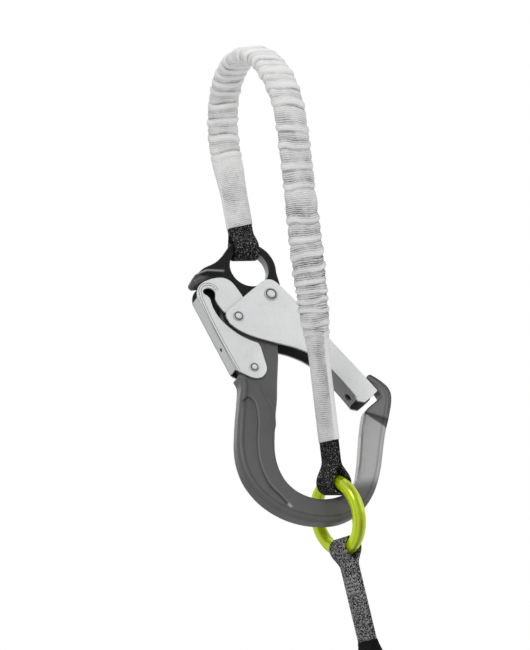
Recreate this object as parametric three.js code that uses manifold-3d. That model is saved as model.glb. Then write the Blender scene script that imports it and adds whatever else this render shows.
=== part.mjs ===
// A tie-back lanyard, hung as it is used: one gathered elastic arm over an arch, a large double-action
// hook on its back end, a ring on its front end that the hook is clipped through, and below the ring
// a sewn tail that ends in its packed energy absorber and harness loop.
// Millimetres, +Z up. The origin is the top of the arch, on the inner face of the arm.

import * as THREE from 'three';
import { mergeVertices } from 'three/addons/utils/BufferGeometryUtils.js';
import Module from 'manifold-3d';

const wasm = await Module();
wasm.setup();

// Driving dimensions

const clearance = 0.3;
const cutOverrun = 2;
const weldDistance = 0.0003;

// Webbing and the elastic sleeve of the arm
const webWidth = 19.6;
const plyThickness = 2.1;
const coreWidth = 19;
const coreThickness = 3.4;
const sleeveWall = 0.8;
const puffedWidth = 25.5;
const puffedThickness = 12;
const flatWidth = 22.4;
const flatThickness = 6.8;
const puckerPitch = 20;
const puckerRise = 0.9;
const flatAtHookLength = 45;
const flatAtRingLength = 105;
const puffTransition = 30;
const hookNeckLength = 20;
const ringNeckLength = 33;
const pliesInSleeveLength = 22;
const twistDegrees = 78;
const twistStartLength = 240;
const twistEndLength = 90;
const sleeveStep = 6.6;
const coreStep = 12;

// Sewn ends
const chafeGuardThickness = 0.8;
const chafeGuardDegrees = [170, 370];
const apexRatio = 1.78;
const stitchLength = 13;
const stitchWidth = 0.8;
const stitchRise = 0.5;
const stitchPitch = 2.6;
const tailTackGap = 10.4;
const hookEndStitchRows = 2;
const ringEndStitchRows = 6;

// Hook, measured in its own plane from the centre of its eye
const hookReach = 226;
const hookLean = 13;
const eyeHoleRadius = 16.5;
const eyeRimWidth = 6.8;
const eyeThickness = 10;
const eyeBevel = 2;
const edgeBevel = 1;
const bowThickness = 16;
const bowBevel = 3.2;
const pocketDepth = 1.2;
const ringEndStandoff = 2.3;
const spurFlangeWidth = 13;
const spurFlangeDepth = 4;
const spurUndersideDegrees = [98.2, 110];
const spurFlangeDegrees = [101, 109.5];
const gateOpening = 30;
const gateChannelWidth = 18;
const gateWall = 1.8;
const gateWebHoleRadius = 3.4;
const gateWebHoleDepth = 10;
const leverChannelWidth = 13.6;
const leverWall = 1.4;
const leverFootRadius = 10;
const leverFootDegrees = [-5, -120];
const leverDomeShare = 0.3584;
const leverDomeDegrees = [108.5, 87];
const leverTravel = 12;
const spurGuardClearance = 1.2;
const gatePivotRadius = 4;
const gatePivotHeadRadius = 5.6;
const leverPivotRadius = 2.6;
const leverPivotHeadRadius = 3.8;
const lockPinRadius = 2.4;
const lockPinHeadRadius = 4.4;
const rivetHeadHeight = 1.3;
const rivetCrownShares = [0.72, 0.85];
const gateWasherRadius = 7.6;
const springPocketDepth = 6.2;
const springWire = 1;
const springTurns = 3;
const gateSpringRadius = 6.4;
const leverSpringRadius = 4.6;
const springShortLeg = 0.5;
const gateSpringStartDegrees = -60;
const leverSpringStartDegrees = 90;

// Ring
const ringMeanRadius = 27;
const ringBarRadius = 5.3;

// Tail, energy absorber and harness loop
const tailVisibleLength = 74;
const absorberLength = 150;
const absorberWidth = 40;
const absorberThickness = 26;
const absorberCorner = 6;
const absorberBevel = 3;
const webSlotCorner = 1;
const coverWall = 1.2;
const tearWebThickness = 1.6;
const tearWebWidth = 30;
const tearRunLength = 104;
const tearRuns = 5;
const tearRunPitch = 3.6;
const harnessLoopRadius = 13;
const harnessLoopReach = 60;
const stitchRowsOnTail = 5;
const stitchRowsOnHarnessLoop = 4;

// Smoothness
const roundingShare = 0.42;
const cornerShare = 0.3;
const arcSteps = 10;
const roundSteps = 16;
const ringSteps = 30;
const ringBarSteps = 10;
const springTurnSteps = 8;
const springWireSides = 5;
const eyeSteps = 32;
const pinPathSteps = 8;
const cornerSteps = 3;
const coarseSteps = 6;
const lengthDivisions = 600;

// Route of the arm, from the bight round the hook's eye, over the arch, to the bight round the ring
const armRoute = [
  [-11.5, 52.4, -139.2], [-9.6, 55.2, -119.4], [-7.9, 58.0, -99.6], [-6.6, 60.7, -80.4],
  [-5.7, 62.8, -65.8], [-5.2, 62.7, -47.7], [-5.0, 57.3, -30.1], [-4.9, 47.2, -14.8],
  [-4.8, 33.1, -3.1], [-4.6, 16.2, 4.1], [-4.4, -2.0, 6.2], [-4.1, -20.1, 3.0],
  [-3.7, -36.5, -5.3], [-3.3, -49.8, -17.9], [-2.9, -59.0, -33.8], [-2.6, -63.2, -51.7],
  [-2.4, -62.1, -70.0], [-2.2, -56.0, -100.0], [-2.1, -49.8, -130.0], [-2.0, -43.6, -160.0],
  [-1.9, -37.4, -190.0], [-1.7, -31.2, -220.0], [-1.5, -25.1, -250.0], [-1.3, -18.9, -280.0],
  [-1.1, -12.6, -310.0], [-1.0, -5.5, -344.2],
];
const frontLegStart = 16;

// Outlines of the hook's pieces: shares of its reach, to the right and up from the eye's centre

// Stations along the bow, from under the lever to the nose: its outer and its inner edge
const bowStationShares = [
  [[-0.167, -0.412], [-0.146, -0.429]], [[-0.164, -0.440], [-0.113, -0.449]],
  [[-0.188, -0.500], [-0.095, -0.487]], [[-0.209, -0.553], [-0.077, -0.544]],
  [[-0.230, -0.611], [-0.079, -0.593]], [[-0.247, -0.664], [-0.097, -0.646]],
  [[-0.256, -0.721], [-0.117, -0.717]], [[-0.254, -0.779], [-0.119, -0.774]],
  [[-0.238, -0.830], [-0.108, -0.823]], [[-0.212, -0.876], [-0.084, -0.858]],
  [[-0.175, -0.917], [-0.058, -0.881]], [[-0.128, -0.951], [-0.029, -0.896]],
  [[-0.073, -0.977], [0.000, -0.904]], [[-0.013, -0.992], [0.027, -0.907]],
  [[0.049, -0.996], [0.058, -0.906]], [[0.106, -0.983], [0.088, -0.900]],
  [[0.155, -0.958], [0.115, -0.889]], [[0.196, -0.922], [0.139, -0.872]],
  [[0.230, -0.877], [0.162, -0.844]], [[0.260, -0.827], [0.181, -0.805]],
  [[0.290, -0.762], [0.204, -0.750]], [[0.319, -0.700], [0.226, -0.695]],
  [[0.352, -0.641], [0.257, -0.626]], [[0.382, -0.579], [0.271, -0.603]],
  [[0.388, -0.549], [0.347, -0.554]], [[0.382, -0.523], [0.344, -0.535]],
  [[0.364, -0.499], [0.332, -0.511]], [[0.343, -0.479], [0.319, -0.484]],
  [[0.330, -0.469], [0.317, -0.473]],
];
const upperRightShares = [
  [0.097, -0.035], [0.095, -0.106], [0.084, -0.155], [0.062, -0.204], [0.038, -0.257],
  [0.017, -0.312], [0.005, -0.358], [-0.011, -0.405], [-0.030, -0.460], [-0.048, -0.515],
  [-0.070, -0.571],
];
const upperLeftShares = [
  [-0.091, -0.624], [-0.177, -0.566], [-0.159, -0.478], [-0.148, -0.425], [-0.153, -0.372],
  [-0.153, -0.060],
];
const spurTopShares = [
  [-0.229, -0.036], [-0.228, -0.025], [-0.219, -0.012], [-0.200, 0.005], [-0.170, 0.020],
  [-0.144, 0.027], [-0.118, 0.039], [-0.083, 0.064], [-0.053, 0.088],
];
const pocketShares = [
  [-0.168, -0.507], [-0.158, -0.545], [-0.158, -0.600], [-0.180, -0.690], [-0.190, -0.745],
  [-0.184, -0.795], [-0.166, -0.850], [-0.136, -0.905], [-0.128, -0.935], [-0.150, -0.915],
  [-0.188, -0.882], [-0.215, -0.842], [-0.235, -0.795], [-0.243, -0.750], [-0.241, -0.700],
  [-0.226, -0.645], [-0.202, -0.580], [-0.180, -0.520],
];
const gateUpperShares = [
  [-0.144, -0.171], [-0.107, -0.143], [-0.073, -0.123], [-0.035, -0.100], [-0.003, -0.084],
  [0.027, -0.067], [0.047, -0.062], [0.064, -0.067], [0.077, -0.081], [0.093, -0.104],
  [0.111, -0.131], [0.133, -0.168], [0.209, -0.315], [0.262, -0.412], [0.300, -0.480],
];
const gateLowerShares = [
  [0.223, -0.513], [0.192, -0.456], [0.168, -0.418], [0.142, -0.387], [0.112, -0.361],
  [0.070, -0.336], [0.035, -0.321], [0.000, -0.307], [-0.035, -0.292], [-0.069, -0.276],
  [-0.100, -0.258], [-0.126, -0.237], [-0.147, -0.213], [-0.152, -0.190],
];
const gateTipShare = [0.333, -0.540];
const gateTipDegrees = [-55.4, -65.6];
const gateWebShares = [
  [0.150, -0.397], [0.168, -0.418], [0.192, -0.456], [0.223, -0.513], [0.252, -0.565],
];
const gateWebHoleShare = [0.2375, -0.5390];
const ringEndShare = [0.05414, -0.86091];
const gatePivotShare = [0.0407, -0.1212];
const lockPinShare = [-0.1071, -0.1907];
const leverPivotShare = [-0.1009, -0.3872];
const leverSpineShares = [[-0.172, -0.378], [-0.234, -0.090]];
const leverDomeCornerShares = [[-0.226, -0.068]];
const leverDomeRightShares = [
  [-0.081, -0.066], [-0.071, -0.091], [-0.063, -0.117], [-0.060, -0.146], [-0.066, -0.165],
];
const leverSlotShares = [
  [-0.097, -0.166], [-0.133, -0.168], [-0.148, -0.165], [-0.157, -0.152], [-0.166, -0.131],
  [-0.168, -0.108], [-0.164, -0.084], [-0.170, -0.072], [-0.184, -0.066], [-0.199, -0.068],
  [-0.206, -0.079], [-0.203, -0.088], [-0.193, -0.103], [-0.190, -0.124], [-0.188, -0.146],
  [-0.181, -0.169], [-0.172, -0.190], [-0.162, -0.207], [-0.142, -0.232], [-0.119, -0.256],
  [-0.088, -0.277], [-0.060, -0.295],
];
const leverRightShares = [[-0.053, -0.303], [-0.052, -0.327], [-0.054, -0.358]];

// Cross-sections of the arm, as shares of half its width and half its thickness
const sleeveOutsideShares = [
  [1, -0.35], [1, 0.35], [0.95, 0.85], [0.5, 1], [-0.5, 1], [-0.95, 0.85],
  [-1, 0.35], [-1, -0.35], [-0.95, -0.85], [-0.5, -1], [0.5, -1], [0.95, -0.85],
];
const sleeveInsideShares = [
  [1, -0.6], [1, 0.6], [0.99, 0.9], [0.5, 1], [-0.5, 1], [-0.99, 0.9],
  [-1, 0.6], [-1, -0.6], [-0.99, -0.9], [-0.5, -1], [0.5, -1], [0.99, -0.9],
];
const flatSectionShares = [[1, -1], [1, 1], [-1, 1], [-1, -1]];

// Finishes

const finish = (color, roughness, metalness) => (
  new THREE.MeshStandardMaterial({ color, roughness, metalness })
);
const sleeveCloth = finish(0xe4e4e2, 0.9, 0);
const blackWebbing = finish(0x1d1d20, 0.88, 0);
const whiteWebbing = finish(0xd8d8d4, 0.88, 0);
const greyThread = finish(0xa9aaac, 0.8, 0);
const coatedAlloy = finish(0x53555a, 0.5, 0.5);
const zincSteel = finish(0xc4c6c8, 0.4, 0.85);
const springSteel = finish(0x8d9094, 0.35, 0.95);
const limeAlloy = finish(0xb5d916, 0.3, 0.6);
const blackCloth = finish(0x161618, 0.9, 0);

// Building tools

function closedGeometry(points, triangles) {
  let volume = 0;
  for (const [a, b, c] of triangles) {
    volume += points[a].dot(new THREE.Vector3().crossVectors(points[b], points[c]));
  }
  const order = volume < 0 ? [0, 2, 1] : [0, 1, 2];
  const geometry = new THREE.BufferGeometry().setFromPoints(points);
  geometry.setIndex(triangles.flatMap((triangle) => order.map((corner) => triangle[corner])));
  return geometry;
}

function solidOf(geometry) {
  const bare = geometry.clone();
  bare.deleteAttribute('normal');
  bare.deleteAttribute('uv');
  const merged = mergeVertices(bare, weldDistance);
  const vertProperties = new Float32Array(merged.attributes.position.array);
  const triVerts = new Uint32Array(merged.index.array);
  return new wasm.Manifold(new wasm.Mesh({ numProp: 3, vertProperties, triVerts }));
}

function geometryOf(solid) {
  const mesh = solid.getMesh();
  const geometry = new THREE.BufferGeometry();
  geometry.setAttribute('position', new THREE.BufferAttribute(new Float32Array(mesh.vertProperties), 3));
  geometry.setIndex(Array.from(mesh.triVerts));
  return geometry;
}

function build(base, { add = [], cut = [] }) {
  let solid = solidOf(base);
  for (const geometry of add) solid = solid.add(solidOf(geometry));
  for (const geometry of cut) solid = solid.subtract(solidOf(geometry));
  return geometryOf(solid);
}

// A flat piece with the outline in x and y, its thickness centred on z
function plate(outline, thickness, bevel = 0, holes = []) {
  const shape = new THREE.Shape(outline);
  shape.holes = holes.map((points) => new THREE.Path(points));
  const geometry = new THREE.ExtrudeGeometry(shape, {
    depth: thickness - 2 * bevel,
    bevelEnabled: bevel > 0,
    bevelThickness: bevel,
    bevelSize: bevel,
    bevelOffset: -bevel,
    bevelSegments: 1,
  });
  return geometry.translate(0, 0, bevel - thickness / 2);
}

function arc(centre, radius, fromDegrees, toDegrees, steps) {
  const points = [];
  for (let i = 0; i <= steps; i += 1) {
    const angle = THREE.MathUtils.degToRad(fromDegrees + ((toDegrees - fromDegrees) * i) / steps);
    points.push(new THREE.Vector2(centre.x + radius * Math.cos(angle), centre.y + radius * Math.sin(angle)));
  }
  return points;
}

const circle = (centre, radius, steps = roundSteps) => arc(centre, radius, 0, 360 - 360 / steps, steps - 1);

// A round pin along z, from one height to another
function pin(centre, radius, from, to, steps = roundSteps) {
  const geometry = new THREE.CylinderGeometry(radius, radius, to - from, steps);
  return geometry.rotateX(Math.PI / 2).translate(centre.x, centre.y, (from + to) / 2);
}

// A rivet head: a low dome on a cheek, on the side that the sign gives
function rivetHead(centre, radius, seat, side) {
  const profile = [
    new THREE.Vector2(0, 0),
    new THREE.Vector2(radius, 0),
    new THREE.Vector2(radius, rivetHeadHeight / 3),
    new THREE.Vector2(radius * rivetCrownShares[0], rivetHeadHeight * rivetCrownShares[1]),
    new THREE.Vector2(0, rivetHeadHeight),
  ];
  const geometry = new THREE.LatheGeometry(profile, roundSteps).rotateX(Math.PI / 2);
  if (side < 0) geometry.rotateX(Math.PI);
  return geometry.translate(centre.x, centre.y, side * seat);
}

// The outline of a ribbon of the given thickness that follows a line of points, mitred at its corners
function ribbon(points, thickness) {
  const left = [];
  const right = [];
  const sideOf = (from, to) => {
    const along = new THREE.Vector2().subVectors(to, from).normalize();
    return new THREE.Vector2(-along.y, along.x);
  };
  points.forEach((point, i) => {
    const before = sideOf(points[Math.max(i - 1, 0)], points[Math.max(i, 1)]);
    const after = sideOf(points[Math.min(i, points.length - 2)], points[Math.min(i + 1, points.length - 1)]);
    const mitre = before.clone().add(after);
    const aside = mitre.multiplyScalar(thickness / mitre.lengthSq());
    left.push(point.clone().add(aside));
    right.unshift(point.clone().sub(aside));
  });
  return [...left, ...right];
}

// Joins rings of points, each with the same count, into a skin; closed at both ends
function loft(rings, inner = null) {
  const count = rings[0].length;
  const loops = inner ? [...rings, ...[...inner].reverse()] : rings;
  const points = loops.flat();
  const triangles = [];
  const last = inner ? loops.length : loops.length - 1;
  for (let r = 0; r < last; r += 1) {
    const next = (r + 1) % loops.length;
    for (let k = 0; k < count; k += 1) {
      const a = r * count + k;
      const b = r * count + ((k + 1) % count);
      const c = next * count + k;
      const d = next * count + ((k + 1) % count);
      triangles.push([a, b, d], [a, d, c]);
    }
  }
  if (!inner) {
    const end = (loops.length - 1) * count;
    for (let k = 1; k < count - 1; k += 1) {
      triangles.push([0, k + 1, k], [end, end + k, end + k + 1]);
    }
  }
  return closedGeometry(points, triangles);
}

function curveThrough(points) {
  const curve = new THREE.CatmullRomCurve3(points, false, 'centripetal');
  curve.arcLengthDivisions = lengthDivisions;
  return curve;
}

// The directions of the arm at a length along it: its run, its width and its thickness
function armFrame(length) {
  const share = THREE.MathUtils.clamp(length / armLength, 0, 1);
  const place = armCurve.getPointAt(share);
  const run = armCurve.getTangentAt(share);
  const across = new THREE.Vector3(1, 0, 0);
  across.addScaledVector(run, -across.dot(run)).normalize();
  const outward = new THREE.Vector3().crossVectors(run, across);
  const fromRing = armLength - length;
  const twistRun = twistStartLength - twistEndLength;
  const turned = THREE.MathUtils.smoothstep(twistStartLength - fromRing, 0, twistRun);
  const angle = THREE.MathUtils.degToRad(twistDegrees) * turned;
  const width = across.clone().multiplyScalar(Math.cos(angle)).addScaledVector(outward, Math.sin(angle));
  const thickness = new THREE.Vector3().crossVectors(run, width);
  return { place, run, width, thickness };
}

// How full the sleeve is at a length along the arm, from 0 where it is drawn flat to 1 where it is gathered
function puff(length) {
  const atHook = THREE.MathUtils.smoothstep(length - flatAtHookLength, 0, puffTransition);
  const atRing = THREE.MathUtils.smoothstep(armLength - flatAtRingLength - length, 0, puffTransition);
  return Math.min(atHook, atRing);
}

function section(length, width, thickness, shares) {
  const frame = armFrame(length);
  return shares.map(([across, through]) => frame.place.clone()
    .addScaledVector(frame.width, (across * width) / 2)
    .addScaledVector(frame.thickness, (through * thickness) / 2));
}

function lengthsBetween(from, to, step) {
  const steps = Math.ceil((to - from) / step);
  return Array.from({ length: steps + 1 }, (_, i) => from + ((to - from) * i) / steps);
}

// The outline of a webbing eye: a bight round a bar, drawn to two plies that run on upwards
function eyeOutline(innerRadius, top) {
  const outerRadius = innerRadius + plyThickness;
  const apex = innerRadius * apexRatio;
  const lean = Math.asin(1 / apexRatio);
  const leanDegrees = THREE.MathUtils.radToDeg(lean);
  const rise = (outerRadius * Math.cos(lean) - plyThickness) / Math.sin(lean);
  const neck = outerRadius * Math.sin(lean) + rise * Math.cos(lean);
  const centre = new THREE.Vector2(0, 0);
  const outline = [
    new THREE.Vector2(-plyThickness, top),
    new THREE.Vector2(-plyThickness, neck),
    ...arc(centre, outerRadius, 180 - leanDegrees, 360 + leanDegrees, arcSteps),
    new THREE.Vector2(plyThickness, neck),
    new THREE.Vector2(plyThickness, top),
  ];
  const bight = arc(centre, innerRadius, 180 - leanDegrees, 360 + leanDegrees, arcSteps);
  const hole = [new THREE.Vector2(0, apex), ...bight];
  return { outline, hole, neck };
}

const webbingEye = (eye) => plate(eye.outline, webWidth, 0, [eye.hole]);

// A thin lining of the bight, between the webbing and the bar that it goes round
function chafeGuard(innerRadius) {
  const centre = new THREE.Vector2(0, 0);
  const [from, to] = chafeGuardDegrees;
  const outer = arc(centre, innerRadius + chafeGuardThickness, from, to, arcSteps);
  const inner = arc(centre, innerRadius, to, from, arcSteps);
  return plate([...outer, ...inner], webWidth - 2 * clearance);
}

// A zigzag of thread on one face of a sewn pair of plies, on the side that the sign gives
function zigzag(firstRow, rows, side) {
  const turns = Array.from({ length: rows + 1 }, (_, row) => {
    const across = ((row % 2 === 0 ? 1 : -1) * stitchLength) / 2;
    return new THREE.Vector2(across, firstRow + row * stitchPitch);
  });
  const thread = plate(ribbon(turns, stitchWidth), stitchRise);
  return thread.rotateY(Math.PI / 2).translate(side * (plyThickness + clearance + stitchRise / 2), 0, 0);
}

// A coil spring round a pivot, with one straight leg at each end
function coilSpring(centre, radius, bottom, pitch, legs) {
  const points = [];
  const steps = springTurns * springTurnSteps;
  const [firstLeg, lastLeg] = legs;
  for (let i = 0; i <= steps; i += 1) {
    const angle = THREE.MathUtils.degToRad(firstLeg.startDegrees) + (2 * Math.PI * i) / springTurnSteps;
    const turned = new THREE.Vector2(radius, 0).rotateAround(eyeCentre, angle).add(centre);
    points.push(new THREE.Vector3(turned.x, turned.y, bottom + (pitch * i) / springTurnSteps));
  }
  const leave = (from, to, length) => {
    const direction = new THREE.Vector3().subVectors(from, to).setZ(0).normalize();
    return from.clone().addScaledVector(direction, length);
  };
  points.unshift(leave(points[0], points[1], firstLeg.length));
  points.push(leave(points.at(-1), points.at(-2), lastLeg.length));
  const up = new THREE.Vector3(0, 0, 1);
  const rings = points.map((point, i) => {
    const before = points[Math.max(i - 1, 0)];
    const after = points[Math.min(i + 1, points.length - 1)];
    const run = new THREE.Vector3().subVectors(after, before).normalize();
    const side = new THREE.Vector3().crossVectors(up, run).normalize();
    const over = new THREE.Vector3().crossVectors(run, side);
    return Array.from({ length: springWireSides }, (_, k) => {
      const angle = (2 * Math.PI * k) / springWireSides;
      return point.clone()
        .addScaledVector(side, (springWire / 2) * Math.cos(angle))
        .addScaledVector(over, (springWire / 2) * Math.sin(angle));
    });
  });
  return loft(rings);
}

const lanyard = new THREE.Group();

function place(group, name, geometry, material) {
  geometry.computeVertexNormals();
  const mesh = new THREE.Mesh(geometry, material.clone());
  mesh.name = name;
  group.add(mesh);
}

function sew(group, name, firstRow, rows) {
  place(group, `${name}_front`, zigzag(firstRow, rows, 1), greyThread);
  place(group, `${name}_back`, zigzag(firstRow, rows, -1), greyThread);
}

// A group at a sewn end: x through the webbing, y up its run, z across its width
function sewnGroup(origin, up, width) {
  const through = new THREE.Vector3().crossVectors(up, width);
  const group = new THREE.Group();
  group.position.copy(origin);
  group.quaternion.setFromRotationMatrix(new THREE.Matrix4().makeBasis(through, up, width));
  lanyard.add(group);
  return group;
}

// Where the hook hangs: x to the right, y up, z towards the side that its gate rivets show on. The rim
// of its eye lies in the bight that starts the arm's route

const routePoints = armRoute.map((point) => new THREE.Vector3(...point));
const halfWeb = webWidth / 2;
const rimInnerAtEdge = Math.sqrt(eyeHoleRadius ** 2 - halfWeb ** 2);
const rimOuter = eyeHoleRadius + eyeRimWidth;
const hookBearing = (rimInnerAtEdge + rimOuter) / 2;
const hook = new THREE.Group();
const leanAngle = THREE.MathUtils.degToRad(hookLean);
const hookFacing = new THREE.Vector3(0, -Math.cos(leanAngle), Math.sin(leanAngle));
const bearingRun = curveThrough(routePoints).getTangentAt(0).projectOnPlane(hookFacing).normalize();
hook.position.copy(routePoints[0]).addScaledVector(bearingRun, -hookBearing);
hook.rotation.x = Math.PI / 2 - leanAngle;
hook.updateMatrix();
lanyard.add(hook);
const at = ([right, up]) => new THREE.Vector2(right * hookReach, up * hookReach);

// The route's front leg ends at the ring, in front of the bow, so its points follow the bow

const bowPlace = at(ringEndShare);
const ringEndPlace = new THREE.Vector3(bowPlace.x, bowPlace.y, bowThickness / 2 + ringEndStandoff);
const legShift = ringEndPlace.applyMatrix4(hook.matrix).sub(routePoints.at(-1));
const armPoints = routePoints.map((point, i) => {
  const share = (i - frontLegStart) / (routePoints.length - 1 - frontLegStart);
  return point.clone().addScaledVector(legShift, Math.max(share, 0));
});
const armCurve = curveThrough(armPoints);
const armLength = armCurve.getLength();

// The arm: a gathered elastic tube over a flat webbing core

const sleeveStart = hookNeckLength;
const sleeveEnd = armLength - ringNeckLength;
const sleeveSize = (length) => {
  const full = puff(length);
  const pucker = full * puckerRise * Math.cos((2 * Math.PI * (length - sleeveStart)) / puckerPitch);
  return {
    width: THREE.MathUtils.lerp(flatWidth, puffedWidth, full) + pucker,
    thickness: THREE.MathUtils.lerp(flatThickness, puffedThickness, full) + pucker,
  };
};
const sleeveOuter = lengthsBetween(sleeveStart, sleeveEnd, sleeveStep).map((length) => {
  const { width, thickness } = sleeveSize(length);
  return section(length, width, thickness, sleeveOutsideShares);
});
const sleeveInner = lengthsBetween(sleeveStart, sleeveEnd, coreStep).map((length) => {
  const full = puff(length);
  const width = THREE.MathUtils.lerp(flatWidth, puffedWidth - puckerRise, full) - 2 * sleeveWall;
  const thickness = THREE.MathUtils.lerp(flatThickness, puffedThickness - puckerRise, full) - 2 * sleeveWall;
  return section(length, width, thickness, sleeveInsideShares);
});
place(lanyard, 'arm_sleeve', loft(sleeveOuter, sleeveInner), sleeveCloth);

const coreStart = hookNeckLength + pliesInSleeveLength + clearance;
const coreEnd = armLength - ringNeckLength - pliesInSleeveLength - clearance;
const coreRings = lengthsBetween(coreStart, coreEnd, coreStep)
  .map((length) => section(length, coreWidth, coreThickness, flatSectionShares));
place(lanyard, 'arm_core_webbing', loft(coreRings), whiteWebbing);

// The sewn eye at the hook end, round the rim of the hook's eye

const rimHalfDepth = (rimOuter - rimInnerAtEdge) / 2;
const rimSweep = Math.max(
  Math.hypot(rimHalfDepth, eyeThickness / 2 - eyeBevel),
  Math.hypot(rimHalfDepth - eyeBevel, eyeThickness / 2),
);
const hookGuardRadius = rimSweep + clearance;
const hookLoopRadius = hookGuardRadius + chafeGuardThickness + clearance;
const hookEndFrame = armFrame(0);
const hookEnd = sewnGroup(hookEndFrame.place, hookEndFrame.run, hookEndFrame.width);
const hookEye = eyeOutline(hookLoopRadius, hookNeckLength + pliesInSleeveLength);
place(hookEnd, 'hook_end_loop', webbingEye(hookEye), blackWebbing);
place(hookEnd, 'hook_end_chafe_guard', chafeGuard(hookGuardRadius), blackCloth);
const hookTackStart = hookEye.neck + stitchWidth;
sew(hookEnd, 'hook_end_stitching', hookTackStart, hookEndStitchRows);

// The sewn eye at the ring end, round the top of the ring

const barDropAtEdge = ringMeanRadius - Math.sqrt(ringMeanRadius ** 2 - halfWeb ** 2);
const barHalfDepth = (ringBarRadius * ringMeanRadius) / (ringMeanRadius - barDropAtEdge) + barDropAtEdge / 2;
const ringBearing = ringMeanRadius - barDropAtEdge / 2;
const ringGuardRadius = barHalfDepth + clearance;
const ringLoopRadius = ringGuardRadius + chafeGuardThickness + clearance;
const ringEndFrame = armFrame(armLength);
const ringEndUp = ringEndFrame.run.clone().negate();
const ringEnd = sewnGroup(ringEndFrame.place, ringEndUp, ringEndFrame.width);
const ringEye = eyeOutline(ringLoopRadius, ringNeckLength + pliesInSleeveLength);
place(ringEnd, 'ring_end_loop', webbingEye(ringEye), blackWebbing);
place(ringEnd, 'ring_end_chafe_guard', chafeGuard(ringGuardRadius), blackCloth);
const ringTackStart = ringEye.neck + stitchWidth;
sew(ringEnd, 'ring_end_stitching', ringTackStart, ringEndStitchRows);

// The hook's body: one forging with the eye, the spur over the lever, the shank, the bow and the nose

const line = (shares) => shares.map(at);
const smooth = (shares) => new THREE.SplineCurve(line(shares)).getPoints(2 * shares.length);
const eyeCentre = new THREE.Vector2(0, 0);
const gatePivot = at(gatePivotShare);
const lockPin = at(lockPinShare);
const leverPivot = at(leverPivotShare);
const eyeFace = eyeThickness / 2;
const gateFace = gateChannelWidth / 2;
const leverFace = leverChannelWidth / 2;
const leverDomeRadius = leverDomeShare * hookReach;
const gateInside = gateFace - gateWall;
const leverInside = leverFace - leverWall;

const gateReach = at(gateTipShare).distanceTo(gatePivot);

// Points on the hook body as the gate opens: the lock pin sweeps an arc round the gate's pivot
const pinArm = lockPin.distanceTo(gatePivot);
const pinDegrees = THREE.MathUtils.radToDeg(Math.atan2(lockPin.y - gatePivot.y, lockPin.x - gatePivot.x));
const pinSlotWidth = 2 * (lockPinRadius + 2 * clearance);
const pinSlotEnd = THREE.MathUtils.radToDeg(pinSlotWidth / 2 / pinArm);
const pinSweepEnds = [pinDegrees + pinSlotEnd, pinDegrees - gateOpening - pinSlotEnd];
const pinSweep = arc(gatePivot, pinArm, ...pinSweepEnds, pinPathSteps);
const pinSlot = plate(ribbon(pinSweep, pinSlotWidth), bowThickness + cutOverrun);

const domeGuardRadius = leverDomeRadius + spurGuardClearance;
const spurUnderside = arc(leverPivot, domeGuardRadius, ...spurUndersideDegrees, coarseSteps);
const spurTop = smooth(spurTopShares);

const upperOutline = [...spurUnderside, ...spurTop, ...line(upperRightShares), ...line(upperLeftShares)];
const upperBody = plate(upperOutline, eyeThickness, edgeBevel);
const rimOutline = circle(eyeCentre, rimOuter, eyeSteps);
const eyeRim = plate(rimOutline, eyeThickness, eyeBevel);
const eyeHole = plate(circle(eyeCentre, eyeHoleRadius + eyeBevel, eyeSteps), eyeThickness + cutOverrun);
const lipOutline = circle(eyeCentre, eyeHoleRadius, eyeSteps);
const eyeLip = plate(rimOutline, eyeThickness, eyeBevel, [lipOutline]);
const flangeUnderside = arc(leverPivot, domeGuardRadius, ...spurFlangeDegrees, coarseSteps);
const flangeTop = arc(leverPivot, domeGuardRadius + spurFlangeDepth, ...spurFlangeDegrees, coarseSteps);
const spurFlange = plate([...flangeUnderside, ...flangeTop.reverse()], spurFlangeWidth, edgeBevel);
const bow = loft(bowStationShares.map(([outerShare, innerShare]) => {
  const outer = at(outerShare);
  const inner = at(innerShare);
  const inward = new THREE.Vector2().subVectors(inner, outer);
  const width = inward.length();
  const rounding = Math.min(bowBevel, width * roundingShare);
  const corner = [[rounding, 0], [rounding * cornerShare, rounding * cornerShare], [0, rounding]];
  const quarter = (fromInner, below) => corner.map(([across, down]) => {
    const along = fromInner ? width - across : across;
    const height = (below ? -1 : 1) * (bowThickness / 2 - down);
    const point = outer.clone().addScaledVector(inward, along / width);
    return new THREE.Vector3(point.x, point.y, height);
  });
  return [
    ...quarter(false, false),
    ...quarter(false, true).reverse(),
    ...quarter(true, true),
    ...quarter(true, false).reverse(),
  ];
}));
const pockets = [-1, 1].map((side) => {
  const floor = bowThickness / 2 - pocketDepth;
  return plate(line(pocketShares), cutOverrun).translate(0, 0, side * (floor + cutOverrun / 2));
});
const springPocketRadius = gateSpringRadius + springWire;
const leverPocketRadius = leverSpringRadius + springWire;
const pocketFloor = eyeFace - springPocketDepth;
const openBody = build(upperBody, { add: [eyeRim, bow, spurFlange], cut: [eyeHole] });
const hookBody = build(openBody, {
  add: [eyeLip],
  cut: [
    pinSlot,
    ...pockets,
    pin(gatePivot, gatePivotRadius + clearance, -bowThickness, bowThickness),
    pin(leverPivot, leverPivotRadius + clearance, -bowThickness, bowThickness),
    pin(gatePivot, springPocketRadius, pocketFloor, bowThickness),
    pin(leverPivot, leverPocketRadius, pocketFloor, eyeFace + cutOverrun),
  ],
});
place(hook, 'hook_body', hookBody, coatedAlloy);

// The gate: a folded steel channel that straddles the body, with the lock pin near its heel

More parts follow.
